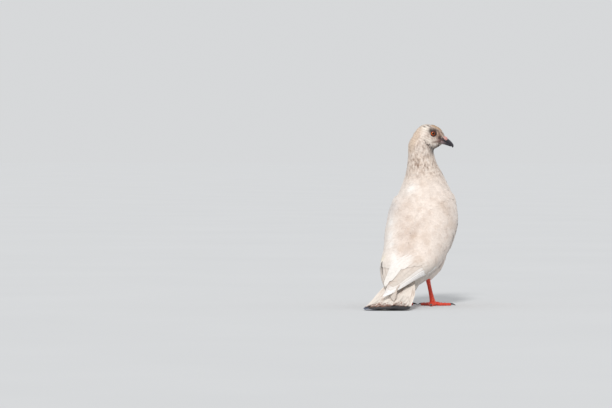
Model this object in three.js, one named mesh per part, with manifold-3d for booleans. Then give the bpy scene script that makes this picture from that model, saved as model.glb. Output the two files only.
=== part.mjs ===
// A pale pigeon standing on a level floor with its back half turned to the viewer and its head turned
// over its right shoulder. It is life size, in millimetres. X runs to the bird's left, its breast faces -Y
// and Z is up. All lengths below are measured from a point on the floor midway between its feet, and the
// last lines move the origin to the middle of the whole bird's footprint.
import * as THREE from "three";
import { LoftGeometry } from "three/addons/geometries/LoftGeometry.js";
import { mergeVertices } from "three/addons/utils/BufferGeometryUtils.js";
import Module from "manifold-3d";

const wasm = await Module();
wasm.setup();

const DEGREE = Math.PI / 180;
const GAP = 0.3; // air between neighbouring solids
const CUTTER = 600; // side of the boxes that stand for half spaces

const HEAD_TURN = -72 * DEGREE; // to the bird's right
const HEAD_PITCH = 24 * DEGREE; // bill below the horizontal
const EYE_MIDPOINT = at(36.4, -13.3, 207);
const EYE_RADIUS = 4.3;
const EYE_OUT = 7.1; // from the middle of the head to the centre of the eye

// Sections of neck, breast, belly and rump, from the neck's top down to the root of the tail. The trunk
// leans a little to the right, over the foot that bears the weight.
const BODY = [
  { forward: 31, left: 0, up: 205, half: 10, back: 12, belly: 9 },
  { forward: 30.5, left: 0, up: 194, half: 15.3, back: 17.4, belly: 15 },
  { forward: 32, left: 0, up: 182, half: 15.8, back: 17.6, belly: 16.6 },
  { forward: 35, left: -0.4, up: 168, half: 18.5, back: 20.5, belly: 21 },
  { forward: 38, left: -2, up: 150, half: 26, back: 28, belly: 30 },
  { forward: 37, left: -3.4, up: 128, half: 35, back: 37, belly: 41 },
  { forward: 28, left: -3.8, up: 104, half: 38.6, back: 40, belly: 47 },
  { forward: 9, left: -3.6, up: 82, half: 38, back: 36, belly: 46 },
  { forward: -14, left: -2.8, up: 63, half: 33.5, back: 29, belly: 38 },
  { forward: -35, left: -1.6, up: 50, half: 26.5, back: 19, belly: 30 },
  { forward: -53, left: -0.6, up: 41, half: 19, back: 12.5, belly: 21 },
  { forward: -68, left: 0, up: 33, half: 11, back: 7, belly: 11 },
];

// Sections that the folded wings lie on: the body's own as far as the flank, then on over the tail.
const CLOAK = [
  { forward: 38, left: -2.8, up: 137, half: 32, back: 33, belly: 37 },
  { forward: 37, left: -3.4, up: 128, half: 35, back: 37, belly: 41 },
  { forward: 28, left: -3.8, up: 104, half: 38.6, back: 40, belly: 47 },
  { forward: 9, left: -3.6, up: 82, half: 38, back: 36, belly: 46 },
  { forward: -14, left: -2.8, up: 63, half: 33.5, back: 29, belly: 34 },
  { forward: -35, left: -1, up: 50, half: 30.5, back: 19, belly: 24 },
  { forward: -55, left: 0.5, up: 39.5, half: 26, back: 13.5, belly: 16 },
  { forward: -76, left: 1, up: 28.5, half: 18.5, back: 9.5, belly: 9 },
  { forward: -96, left: 0.5, up: 19.5, half: 10.5, back: 5, belly: 4 },
  { forward: -114, left: 0, up: 13.5, half: 3.4, back: 1.6, belly: 1.4 },
];

// Sections of the skull in the head's own frame, from the bill's root back to the occiput.
const SKULL = [
  { forward: 16.5, up: -0.8, half: 4, back: 3.8, belly: 4.8 },
  { forward: 12.5, up: -1.4, half: 6.9, back: 8.2, belly: 9 },
  { forward: 8, up: -2.4, half: 9.2, back: 12, belly: 12.8 },
  { forward: 2, up: -4, half: 11.3, back: 14.7, belly: 15.6 },
  { forward: -5, up: -5, half: 12.6, back: 15.2, belly: 17 },
  { forward: -12, up: -7.5, half: 12.4, back: 12.9, belly: 16 },
  { forward: -17.6, up: -11, half: 10.2, back: 8.2, belly: 11 },
  { forward: -21, up: -13, half: 5, back: 3.6, belly: 6 },
];

const UPPER_BILL = [
  { forward: 29.3, up: -5.2, half: 0.5, back: 0.7, belly: 0.7 },
  { forward: 27.6, up: -3.8, half: 1.3, back: 1.9, belly: 1.2 },
  { forward: 24, up: -2.4, half: 2.1, back: 2.6, belly: 1.4 },
  { forward: 19, up: -1.6, half: 2.9, back: 3.1, belly: 1.7 },
  { forward: 14, up: -1.2, half: 4, back: 3.8, belly: 2 },
  { forward: 10, up: -1, half: 4.6, back: 4, belly: 2 },
];

const LOWER_BILL = [
  { forward: 26.4, up: -5, half: 0.6, back: 0.6, belly: 0.4 },
  { forward: 23.5, up: -4.7, half: 1.5, back: 1, belly: 0.8 },
  { forward: 18.5, up: -4.6, half: 2.5, back: 1.2, belly: 1.3 },
  { forward: 13.5, up: -4.9, half: 3.5, back: 1.6, belly: 2.2 },
  { forward: 9.5, up: -5, half: 4.2, back: 1.6, belly: 2.8 },
];

const CERE = { forward: 16.4, out: 1.75, up: 1.7, length: 3.4, width: 1.9, height: 1.7, droop: 20 * DEGREE };

const WING = {
  lift: 4.2, // how proud of the body the folded wing stands at its middle
  edge: 1.1, // and at its edges
  tip_lift: 2.2,
  sink: 2.2,
  tip_sink: 0.7,
  cross_start: 0.56, // where, along the wing, the two blades begin to cross
  cross: 9, // how far each tip runs past the midline
  gap: 0.45, // between layers of the wings
  raise: 1.6, // of the right wing, which lies on top
  drop: 2.9, // of the left wing, which lies beneath
};

// Stretches of the wing, from the bend at 0 to the tip at 1. Below is how far, as an angle, each one's
// lower edge hangs under the secondaries'.
const WING_PIECES = [
  { name: "coverts", from: 0.05, to: 0.42, proud: 0.8, below: 0, rings: 8 },
  { name: "secondaries", from: 0.42, to: 0.64, proud: 0.3, below: 0, rings: 4 },
  { name: "primaries", from: 0.52, to: 1, proud: -0.6, below: 5 * DEGREE, rings: 8 },
];

const TAIL = {
  feathers: 12,
  width: 24, // of one feather
  thickness: 0.8,
  fan: 11 * DEGREE, // between the outermost shafts
  root_spread: 14, // between the centres of the outermost feathers at their roots
  tip_spread: 32, // and at their tips
  stack: 0.42, // each feather lies this much below its inner neighbour
  root: at(-46, 0, 40),
  bend: at(-87, 0, 12),
  tip: at(-134, 0, 2.3),
  skew: 3.5, // the left side lies this much further back
};

const UNDERTAIL = [
  { forward: -38, up: 33, half: 20, back: 10, belly: 12 },
  { forward: -56, up: 23.5, half: 18, back: 8, belly: 11 },
  { forward: -76, up: 14.5, half: 14, back: 5, belly: 7 },
  { forward: -94, up: 9, half: 7, back: 2, belly: 3 },
];

const STANCE = 22; // from the midline to the foot's centre
const ANKLE = { forward: -8, out: 19, up: 34 };
const FOOT = { forward: 4, out: STANCE, up: 5 };
const FOOT_PAD = { half: 4.9, height: 2.9, up: 2.4 };
const TARSUS_RADII = [2.9, 2.5, 2.05, 2.1, 2.5, 3.4];
const THIGH = [
  { forward: 14, out: 21, up: 62, radius: 16 },
  { forward: 4, out: 21, up: 49, radius: 13.5 },
  { forward: -4, out: 20, up: 39, radius: 8.4 },
  { forward: -7.6, out: 19, up: 32.4, radius: 4.4 },
];

// Toes: the first is the hind toe; angles turn outwards from straight ahead.
const TOES = [
  { name: "1", angle: 172 * DEGREE, length: 15, radius: 1.9, joints: 1 },
  { name: "2", angle: -58 * DEGREE, length: 19, radius: 2.1, joints: 2 },
  { name: "3", angle: 2 * DEGREE, length: 27, radius: 2.3, joints: 3 },
  { name: "4", angle: 60 * DEGREE, length: 22, radius: 2.1, joints: 4 },
];
const TOE_ROOT = 4.8; // from the foot's centre to where the toes begin
const CLAW = {
  length: 6.2,
  root_radius: 1.25,
  tip_radius: 0.32,
  root_height: 1.95,
  tip_height: 0.65,
  arch: 0.9,
};

const COLOURS = {
  body: 0xe6dacf,
  neck: 0xcbb9ac,
  head: 0xcdb9a6,
  wing: 0xece3da,
  tail: 0xe3d3c8,
  leg: 0xc23a2c,
  claw: 0x1d1a1c,
  bill: 0x332c33,
  cere: 0xdcb0ab,
  eye: 0xc8551e,
};

function at(forward, left, up) {
  return new THREE.Vector3(left, -forward, up);
}

function smooth(value, low, high) {
  return THREE.MathUtils.smoothstep(value, low, high);
}

// ---- Solids ----

function solidFrom(geometry, matrix = new THREE.Matrix4()) {
  const bare = new THREE.BufferGeometry();
  bare.setAttribute("position", geometry.getAttribute("position").clone());
  bare.setIndex(geometry.getIndex());
  bare.applyMatrix4(matrix);
  const merged = mergeVertices(bare, 1e-4);
  const triVerts = new Uint32Array(merged.index.array);
  const vertProperties = new Float32Array(merged.attributes.position.array);
  return new wasm.Manifold(new wasm.Mesh({ numProp: 3, vertProperties, triVerts }));
}

function geometryFrom(solid) {
  const mesh = solid.getMesh();
  const geometry = new THREE.BufferGeometry();
  geometry.setAttribute("position", new THREE.BufferAttribute(new Float32Array(mesh.vertProperties), 3));
  geometry.setIndex(new THREE.BufferAttribute(new Uint32Array(mesh.triVerts), 1));
  geometry.computeVertexNormals();
  return geometry;
}

const union = (solids) => solids.reduce((whole, next) => whole.add(next));
const without = (solid, ...cutters) => cutters.reduce((left, cutter) => left.subtract(cutter), solid);

// The largest body of a solid that a cut may have left with loose crumbs.
function largest(solid) {
  const bodies = solid.decompose();
  return bodies.reduce((best, body) => (body.volume() > best.volume() ? body : best));
}

// The half space on the side of a plane that its normal points to, as a large box.
function halfSpace(point, normal, clearance) {
  const box = new THREE.BoxGeometry(CUTTER, CUTTER, CUTTER);
  const turn = new THREE.Quaternion().setFromUnitVectors(new THREE.Vector3(0, 0, 1), normal);
  const centre = point.clone().addScaledVector(normal, CUTTER / 2 + clearance);
  return solidFrom(box, new THREE.Matrix4().compose(centre, turn, new THREE.Vector3(1, 1, 1)));
}

// Parts a solid in two along a plane, with a thin gap between the halves.
function part(solid, point, normal) {
  const near = solid.intersect(halfSpace(point, normal, GAP / 2));
  const far = solid.intersect(halfSpace(point, normal.clone().negate(), GAP / 2));
  return [near, far];
}

// ---- Lofts ----

// A closed solid through a list of sections, each a ring of points. Rings that wind against the way the
// loft runs are turned round, so that every face looks outwards.
function loft(sections, matrix) {
  const middle = sections[Math.floor(sections.length / 2)];
  const normal = new THREE.Vector3();
  middle.forEach((point, i) => normal.add(point.clone().cross(middle[(i + 1) % middle.length])));
  const along = new THREE.Vector3();
  sections.at(-1).forEach((point, i) => along.add(point).sub(sections[0][i]));
  if (normal.dot(along) < 0) sections.forEach((section) => section.reverse());
  return solidFrom(new LoftGeometry(sections, { capStart: true, capEnd: true }), matrix);
}

// Smooth functions of a place t from 0 to 1 along a list of oval sections in the midplane.
function ovals(stations) {
  const line = new THREE.CatmullRomCurve3(stations.map((s) => at(s.forward, s.left ?? 0, s.up)));
  const sizes = new THREE.CatmullRomCurve3(
    stations.map((s) => new THREE.Vector3(s.half, s.back, s.belly)),
  );
  return (t) => {
    const back = new THREE.Vector3(1, 0, 0).cross(line.getTangent(t)).normalize();
    const across = line.getTangent(t).cross(back).normalize();
    const size = sizes.getPoint(t);
    return { centre: line.getPoint(t), across, back, half: size.x, up: size.y, down: size.z };
  };
}

// A point at an angle round one oval: 0 is out to the left, a right angle is the middle of the back.
function ovalPoint(oval, angle, grow) {
  const rise = Math.sin(angle);
  const depth = rise > 0 ? oval.up : oval.down;
  return oval.centre
    .clone()
    .addScaledVector(oval.across, (oval.half + grow) * Math.cos(angle))
    .addScaledVector(oval.back, (depth + grow) * rise);
}

function ovalLoft(stations, rings, sides, grow = 0, matrix = undefined) {
  const ovalAt = ovals(stations);
  const sections = [];
  for (let i = 0; i <= rings; i++) {
    const oval = ovalAt(i / rings);
    const section = [];
    for (let k = 0; k < sides; k++) section.push(ovalPoint(oval, (k / sides) * 2 * Math.PI, grow));
    sections.push(section);
  }
  return loft(sections, matrix);
}

// A round limb along a list of points, each with a radius.
function limb(points, radii, rings, sides, grow = 0) {
  const line = new THREE.CatmullRomCurve3(points);
  const thickness = new THREE.CatmullRomCurve3(radii.map((r) => new THREE.Vector3(r, 0, 0)));
  const reference = new THREE.Vector3(0.08, 0.05, 1).normalize();
  const sections = [];
  for (let i = 0; i <= rings; i++) {
    const along = line.getTangent(i / rings);
    const steep = Math.abs(along.dot(reference)) > 0.9;
    const side = along.clone().cross(steep ? new THREE.Vector3(0, 1, 0) : reference).normalize();
    const top = side.clone().cross(along);
    const radius = thickness.getPoint(i / rings).x + grow;
    const section = [];
    for (let k = 0; k < sides; k++) {
      const angle = (k / sides) * 2 * Math.PI;
      section.push(
        line
          .getPoint(i / rings)
          .addScaledVector(side, radius * Math.cos(angle))
          .addScaledVector(top, radius * Math.sin(angle)),
      );
    }
    sections.push(section);
  }
  return loft(sections);
}

// ---- Group of named meshes ----

const bird = new THREE.Group();
const headFrame = new THREE.Group();
headFrame.position.copy(EYE_MIDPOINT);
headFrame.rotation.set(HEAD_PITCH, 0, HEAD_TURN, "ZXY");
bird.add(headFrame);
bird.updateMatrixWorld(true);

// Adds a solid, given in the bird's frame, to the group that carries it.
function addNode(name, solid, colour, roughness, carrier = bird) {
  const geometry = geometryFrom(largest(solid));
  geometry.applyMatrix4(carrier.matrixWorld.clone().invert());
  const material = new THREE.MeshStandardMaterial({ color: colour, roughness, metalness: 0 });
  const mesh = new THREE.Mesh(geometry, material);
  mesh.name = name;
  carrier.add(mesh);
}

// ---- Head, neck, trunk and rump: one form, parted by thin cuts ----

const headMatrix = headFrame.matrixWorld;
const bodyWhole = (grow) => ovalLoft(BODY, 22, 22, grow);
const skull = ovalLoft(SKULL, 10, 16, 0, headMatrix);
const flesh = bodyWhole(0).add(skull);

const throatCut = at(33, -2, 187);
const throatNormal = new THREE.Vector3(-0.2, -0.06, 0.978).normalize();
const neckCut = at(37, 0, 144);
const neckNormal = new THREE.Vector3(0, -0.12, 0.99).normalize();
const rumpCut = at(-42, 0, 47);
const rumpNormal = new THREE.Vector3(0, -0.88, 0.47).normalize();

const [headWhole, belowHead] = part(flesh, throatCut, throatNormal);
const [neck, belowNeck] = part(belowHead, neckCut, neckNormal);
const [trunk, rump] = part(belowNeck, rumpCut, rumpNormal);

function eyeball(hand, grow) {
  const ball = new THREE.SphereGeometry(EYE_RADIUS + grow, 12, 7);
  ball.rotateZ(Math.PI / 2);
  ball.translate(hand * EYE_OUT, 0, 0);
  return solidFrom(ball, headMatrix);
}

function cere(grow) {
  const lobes = [-1, 1].map((hand) => {
    const lobe = new THREE.SphereGeometry(1, 8, 6);
    lobe.scale(CERE.width + grow, CERE.length + grow, CERE.height + grow);
    lobe.rotateX(CERE.droop);
    lobe.translate(hand * CERE.out, -CERE.forward, CERE.up);
    return solidFrom(lobe, headMatrix);
  });
  return union(lobes);
}

const upperBill = (grow) => ovalLoft(UPPER_BILL, 7, 10, grow, headMatrix);
const lowerBill = (grow) => ovalLoft(LOWER_BILL, 5, 10, grow, headMatrix);
const SIDES = { left: 1, right: -1 };

const head = without(
  headWhole,
  upperBill(GAP),
  lowerBill(GAP),
  cere(GAP),
  eyeball(1, GAP),
  eyeball(-1, GAP),
);
addNode("head", head, COLOURS.head, 0.85, headFrame);
addNode("bill_upper", without(upperBill(0), cere(GAP)), COLOURS.bill, 0.45, headFrame);
addNode("bill_lower", without(lowerBill(0), upperBill(GAP), cere(GAP)), COLOURS.bill, 0.45, headFrame);
addNode("cere", cere(0), COLOURS.cere, 0.7, headFrame);
for (const [side, hand] of Object.entries(SIDES)) {
  addNode("eye_" + side, eyeball(hand, 0), COLOURS.eye, 0.15, headFrame);
}
addNode("neck", neck, COLOURS.neck, 0.85);

// ---- Folded wings ----

const cloakAt = ovals(CLOAK);

// Lowest and highest angle that the wing covers round the cloak at a place s along it.
function wingSpan(s, hand) {
  const front = smooth(s, 0.02, 0.19);
  const low = (-4 - 28 * front + 18 * smooth(s, 0.14, 0.5) + 10 * smooth(s, 0.5, 0.75)) * DEGREE;
  const past = (hand > 0 ? 12 : 18) * smooth(s, WING.cross_start, 0.7);
  const high = (14 + 42 * front + 30 * smooth(s, 0.1, 0.36) + past) * DEGREE;
  return [low, high];
}

function wingPiece(piece, hand, grow) {
  const around = 6;
  const sections = [];
  for (let i = 0; i <= piece.rings; i++) {
    const along = THREE.MathUtils.lerp(piece.from, piece.to, i / piece.rings);
    const s = THREE.MathUtils.clamp(along + (grow / 190) * (2 * (i / piece.rings) - 1), 0, 1);
    const oval = cloakAt(s);
    const [low, high] = wingSpan(s, hand);
    const crossing = smooth(s, WING.cross_start, 1);
    const shift = at(
      0,
      -hand * WING.cross * crossing,
      (hand > 0 ? -WING.drop : WING.raise) * smooth(s, WING.cross_start, 0.74),
    );
    const body = THREE.MathUtils.lerp(WING.edge, WING.lift, smooth(s, 0.02, 0.24));
    const lift = THREE.MathUtils.lerp(body, WING.tip_lift, smooth(s, 0.35, 0.8));
    const thin = smooth(s, 0.86, 1);
    const section = [];
    for (const layer of ["outer", "inner"]) {
      for (let k = 0; k <= around; k++) {
        const share = layer === "outer" ? k / around : 1 - k / around;
        const arch = Math.sin(Math.PI * share) ** 0.6;
        const outer = THREE.MathUtils.lerp(WING.edge, lift, arch * (1 - 0.5 * thin)) + piece.proud + grow;
        const inner = -THREE.MathUtils.lerp(WING.sink, WING.tip_sink, smooth(s, 0.5, 0.8)) - grow;
        const margin = grow / oval.half;
        const angle = THREE.MathUtils.lerp(low - piece.below - margin, high + margin, share);
        const turned = hand > 0 ? angle : Math.PI - angle;
        section.push(ovalPoint(oval, turned, layer === "outer" ? outer : inner).add(shift));
      }
    }
    sections.push(section);
  }
  return loft(sections);
}

// ---- Tail ----

// One tail feather: a thin flat blade with a narrowed end. Its place is -1 at the right and 1 at the left.
function tailFeather(place, grow) {
  const rings = 5;
  const line = new THREE.QuadraticBezierCurve3(TAIL.root, TAIL.bend, TAIL.tip);
  const under = Math.abs(place) * ((TAIL.feathers - 1) / 2) * TAIL.stack;
  const sections = [];
  for (let i = 0; i <= rings; i++) {
    const t = i / rings;
    const centre = line.getPoint(t);
    centre.x += (place / 2) * THREE.MathUtils.lerp(TAIL.root_spread, TAIL.tip_spread, t);
    centre.y += TAIL.skew * place * t - Math.abs(place) * 3 * t;
    centre.z -= under - 0.3;
    const along = line.getTangent(t);
    along.x += place * Math.sin(TAIL.fan / 2);
    along.normalize();
    const top = new THREE.Vector3(1, 0, 0).cross(along).negate().normalize();
    if (top.z < 0) top.negate();
    const side = along.clone().cross(top).normalize();
    const breadth = TAIL.width * (0.6 + 0.4 * smooth(t, 0, 0.5)) * (1 - 0.36 * smooth(t, 0.84, 1));
    const half = breadth / 2 + grow;
    const thick = TAIL.thickness / 2 + grow;
    const corner = (x, z) => centre.clone().addScaledVector(side, x).addScaledVector(top, z);
    sections.push([
      corner(-half, -thick),
      corner(half, -thick),
      corner(half, thick * 0.6),
      corner(0, thick * 1.6),
      corner(-half, thick * 0.6),
    ]);
  }
  return loft(sections);
}

function tailWhole(grow) {
  const feathers = [];
  for (let i = 0; i < TAIL.feathers; i++) {
    feathers.push(tailFeather((2 * i) / (TAIL.feathers - 1) - 1, grow));
  }
  return union(feathers);
}

const aboveFloor = halfSpace(at(0, 0, 0), new THREE.Vector3(0, 0, 1), 0);
const undertail = (grow) => ovalLoft(UNDERTAIL, 6, 12, grow);
const tail = without(tailWhole(0), bodyWhole(GAP)).intersect(aboveFloor);
addNode("tail", tail, COLOURS.tail, 0.8);
addNode(
  "undertail_coverts",
  without(undertail(0), bodyWhole(GAP), tailWhole(GAP)).intersect(aboveFloor),
  COLOURS.body,
  0.85,
);

// The right wing lies over the left, and each stretch over the next.
const laid = [];
for (const side of ["right", "left"]) {
  const hand = side === "left" ? 1 : -1;
  for (const piece of WING_PIECES) {
    const cutters = laid.map(([over, overHand]) => wingPiece(over, overHand, WING.gap));
    const solid = without(wingPiece(piece, hand, 0), bodyWhole(GAP), tailWhole(GAP), ...cutters);
    addNode("wing_" + side + "_" + piece.name, solid, COLOURS.wing, 0.8);
    laid.push([piece, hand]);
  }
}

// ---- Legs ----

const onSide = (place, hand) => at(place.forward, hand * place.out, place.up);

function thigh(hand, grow) {
  const points = THIGH.map((place) => onSide(place, hand));
  const radii = THIGH.map((place) => place.radius);
  return limb(points, radii, 5, 10, grow);
}

function tarsus(hand, grow) {
  const top = onSide(ANKLE, hand);
  const foot = onSide(FOOT, hand);
  const points = TARSUS_RADII.map((_, i) => top.clone().lerp(foot, i / (TARSUS_RADII.length - 1)));
  const shank = limb(points, TARSUS_RADII, 6, 8, grow);
  const pad = new THREE.SphereGeometry(1, 10, 6);
  pad.rotateX(Math.PI / 2);
  pad.scale(FOOT_PAD.half + grow, FOOT_PAD.half + grow, FOOT_PAD.height + grow);
  pad.translate(foot.x, foot.y, FOOT_PAD.up);
  return shank.add(solidFrom(pad));
}

// A place out along a toe from the foot's centre.
function alongToe(hand, toe, reach, up) {
  const forward = FOOT.forward + reach * Math.cos(toe.angle);
  const out = FOOT.out + reach * Math.sin(toe.angle);
  return onSide({ forward, out, up }, hand);
}

function toeSolid(hand, toe) {
  const rings = toe.joints + 3;
  const points = [];
  const radii = [];
  for (let i = 0; i <= rings; i++) {
    const t = i / rings;
    const swell = 1 + 0.11 * Math.cos(2 * Math.PI * t * (toe.joints + 0.5));
    const radius = toe.radius * (1 - 0.26 * t) * swell;
    const height = radius * 0.86 + 1.6 * (1 - smooth(t, 0, 0.4));
    points.push(alongToe(hand, toe, THREE.MathUtils.lerp(TOE_ROOT, toe.length, t), height));
    radii.push(radius);
  }
  return limb(points, radii, rings, 6).intersect(aboveFloor);
}

function clawSolid(hand, toe) {
  const points = [];
  const radii = [];
  for (let i = 0; i <= 4; i++) {
    const t = i / 4;
    const reach = toe.length + GAP + CLAW.length * t;
    const height = THREE.MathUtils.lerp(CLAW.root_height, CLAW.tip_height, t ** 2) + CLAW.arch * t * (1 - t);
    points.push(alongToe(hand, toe, reach, height));
    radii.push(THREE.MathUtils.lerp(CLAW.root_radius, CLAW.tip_radius, t ** 1.2));
  }
  return limb(points, radii, 4, 6);
}

for (const [side, hand] of Object.entries(SIDES)) {
  const thighSolid = without(
    thigh(hand, 0),
    bodyWhole(GAP),
    ...WING_PIECES.map((piece) => wingPiece(piece, hand, GAP)),
  );
  addNode("thigh_" + side, thighSolid, COLOURS.body, 0.85);
  const tarsusSolid = without(tarsus(hand, 0), thigh(hand, GAP), bodyWhole(GAP)).intersect(aboveFloor);
  addNode("tarsus_" + side, tarsusSolid, COLOURS.leg, 0.5);
  for (const toe of TOES) {
    const solid = without(toeSolid(hand, toe), tarsus(hand, GAP));
    addNode("toe_" + side + "_" + toe.name, solid, COLOURS.leg, 0.5);
    addNode("claw_" + side + "_" + toe.name, clawSolid(hand, toe), COLOURS.claw, 0.35);
  }
}

addNode("trunk", trunk, COLOURS.body, 0.85);
addNode("rump", rump, COLOURS.body, 0.85);

// ---- Origin under the middle of the whole bird, on the floor ----

bird.updateMatrixWorld(true);
const bounds = new THREE.Box3().setFromObject(bird, true);
const middle = bounds.getCenter(new THREE.Vector3());
bird.position.set(-middle.x, -middle.y, -bounds.min.z);

export default bird;
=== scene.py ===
"""The looks of a pale pigeon that stands on a level floor, its back half turned to the viewer and its
head turned over its right shoulder. Shapes are worked out in millimetres in the bird's own frame, where
X runs to its left, its breast faces -Y and Z is up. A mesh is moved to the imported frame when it's made.
"""
import math

import bmesh
import bpy
import numpy as np
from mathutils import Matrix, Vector
from mathutils.bvhtree import BVHTree
from mathutils.kdtree import KDTree


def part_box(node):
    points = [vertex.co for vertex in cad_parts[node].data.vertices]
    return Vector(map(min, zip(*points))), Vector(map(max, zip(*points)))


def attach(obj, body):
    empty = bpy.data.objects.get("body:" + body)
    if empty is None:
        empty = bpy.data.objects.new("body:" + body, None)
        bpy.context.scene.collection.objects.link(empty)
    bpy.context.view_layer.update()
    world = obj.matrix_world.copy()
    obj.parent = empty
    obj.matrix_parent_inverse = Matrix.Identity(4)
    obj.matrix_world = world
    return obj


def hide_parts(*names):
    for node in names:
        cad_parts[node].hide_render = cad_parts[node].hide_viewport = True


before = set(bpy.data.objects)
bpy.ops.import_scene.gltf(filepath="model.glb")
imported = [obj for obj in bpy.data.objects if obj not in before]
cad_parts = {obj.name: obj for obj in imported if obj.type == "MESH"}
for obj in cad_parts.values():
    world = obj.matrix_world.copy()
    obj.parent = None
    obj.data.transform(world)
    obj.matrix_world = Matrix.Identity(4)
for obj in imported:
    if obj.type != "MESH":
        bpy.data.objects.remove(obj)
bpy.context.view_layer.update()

rng = np.random.default_rng(20)
MM = 0.001
DEG = math.pi / 180

# ---- Small mathematics ----


def at(forward, left, up):
    """A point in the bird's frame."""
    return np.array([left, -forward, up], float)


def smooth(value, low, high):
    """A soft step from 0 at low to 1 at high. Low may be the greater of the two."""
    t = np.clip((np.asarray(value, float) - low) / (high - low), 0, 1)
    return t * t * (3 - 2 * t)


def mix(a, b, t):
    return a + (b - a) * t


def bell(value, width):
    """1 where a value is 0, and less and less beyond a width."""
    return np.exp(-((value / width) ** 2))


def near(x, y, x0, y0, rx, ry):
    """1 at a place on a plane, and less and less beyond its half sizes."""
    return np.exp(-(((x - x0) / rx) ** 2) - ((y - y0) / ry) ** 2)


def unit(v):
    return v / np.maximum(np.linalg.norm(v, axis=-1, keepdims=True), 1e-9)


def joined(*parts):
    """Arrays of shapes that go together, as the components of one array."""
    return np.stack(np.broadcast_arrays(*parts), -1)


def alike(*parts):
    """Numbers and arrays that go together, as arrays of one shape."""
    return np.broadcast_arrays(*(np.asarray(part, float) for part in parts))


def srgb(*value):
    c = np.array(value, float) / 255
    return np.where(c < 0.04045, c / 12.92, ((c + 0.055) / 1.055) ** 2.4)


def tinge(colours, colour, weight):
    """Colours mixed with another one, by a weight for each."""
    return mix(colours, colour, weight[..., None])


def yaw(angle):
    c, s = math.cos(angle), math.sin(angle)
    return np.array([[c, -s, 0], [s, c, 0], [0, 0, 1]])


def pitch(angle):
    c, s = math.cos(angle), math.sin(angle)
    return np.array([[1, 0, 0], [0, c, -s], [0, s, c]])


def catmull(points, t):
    """A centripetal Catmull-Rom curve through points, at places t from 0 to 1."""
    points = np.asarray(points, float)
    count = len(points)
    padded = np.vstack([2 * points[0] - points[1], points, 2 * points[-1] - points[-2]])
    place = np.clip(np.asarray(t, float), 0, 1) * (count - 1)
    index = np.minimum(place.astype(int), count - 2)
    w = (place - index)[..., None]
    p0, p1, p2, p3 = (padded[index + k] for k in range(4))
    d0, d1, d2 = (
        ((b - a) ** 2).sum(-1, keepdims=True) ** 0.25 for a, b in ((p0, p1), (p1, p2), (p2, p3))
    )
    m1 = ((p1 - p0) / d0 - (p2 - p0) / (d0 + d1) + (p2 - p1) / d1) * d1
    m2 = ((p2 - p1) / d1 - (p3 - p1) / (d1 + d2) + (p3 - p2) / d2) * d1
    return p1 + m1 * w + (3 * (p2 - p1) - 2 * m1 - m2) * w**2 + (2 * (p1 - p2) + m1 + m2) * w**3


def tangent(points, t):
    t = np.asarray(t, float)
    return unit(catmull(points, np.clip(t + 1e-4, 0, 1)) - catmull(points, np.clip(t - 1e-4, 0, 1)))


def oval_frame(shape, t):
    """Centre, sideways and backward directions, and half sizes of an oval loft at places t."""
    centres, sizes = shape
    along = tangent(centres, t)
    back = unit(np.cross(np.array([1.0, 0, 0]), along))
    across = unit(np.cross(along, back))
    return catmull(centres, t), across, back, catmull(sizes, t)


def oval_points(shape, t, angle, grow=0.0):
    """Points at angles round an oval loft: 0 is out to the left, a right angle is mid-back."""
    t, angle, grow = alike(t, angle, grow)
    centre, across, back, size = oval_frame(shape, t)
    rise = np.sin(angle)
    depth = np.where(rise > 0, size[..., 1], size[..., 2])
    return (
        centre
        + across * ((size[..., 0] + grow) * np.cos(angle))[..., None]
        + back * ((depth + grow) * rise)[..., None]
    )


def noise3(points, scale, seed=0):
    """Smooth value noise from 0 to 1 in space, the same on every run. Each corner of a cell has a
    value of its own, hashed from its place with large primes."""
    q = np.asarray(points, float) / scale + seed * 17.3
    cell = np.floor(q).astype(np.int64)
    w = q - cell
    w = w * w * (3 - 2 * w)
    total = np.zeros(q.shape[:-1])
    for corner in range(8):
        step = np.array([corner & 1, corner >> 1 & 1, corner >> 2 & 1])
        c = cell + step
        h = (c[..., 0] * 73856093) ^ (c[..., 1] * 19349663) ^ (c[..., 2] * 83492791)
        h = (h ^ (h >> 13)) * 1274126177 & 0x7FFFFFFF
        weight = np.prod(np.where(step == 1, w, 1 - w), -1)
        total += weight * ((h ^ (h >> 15)) & 0xFFFF) / 65535.0
    return total


# ---- The bird's frame and its named sizes ----


def stations(*rows):
    """Rows of (forward, left, up, half, back, belly) as centres and sizes."""
    rows = np.array(rows, float)
    return np.stack([rows[:, 1], -rows[:, 0], rows[:, 2]], 1), rows[:, 3:]


BODY = stations(
    (31, 0, 205, 10, 12, 9), (30.5, 0, 194, 15.3, 17.4, 15), (32, 0, 182, 15.8, 17.6, 16.6),
    (35, -0.4, 168, 18.5, 20.5, 21), (38, -2, 150, 26, 28, 30), (37, -3.4, 128, 35, 37, 41),
    (28, -3.8, 104, 38.6, 40, 47), (9, -3.6, 82, 38, 36, 46), (-14, -2.8, 63, 33.5, 29, 38),
    (-35, -1.6, 50, 26.5, 19, 30), (-53, -0.6, 41, 19, 12.5, 21), (-68, 0, 33, 11, 7, 11),
)
CLOAK = stations(  # the folded wings lie on this loft
    (38, -2.8, 137, 32, 33, 37), (37, -3.4, 128, 35, 37, 41), (28, -3.8, 104, 38.6, 40, 47),
    (9, -3.6, 82, 38, 36, 46), (-14, -2.8, 63, 33.5, 29, 34), (-35, -1, 50, 30.5, 19, 24),
    (-55, 0.5, 39.5, 26, 13.5, 16), (-76, 1, 28.5, 18.5, 9.5, 9), (-96, 0.5, 19.5, 10.5, 5, 4),
    (-114, 0, 13.5, 3.4, 1.6, 1.4),
)
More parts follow.
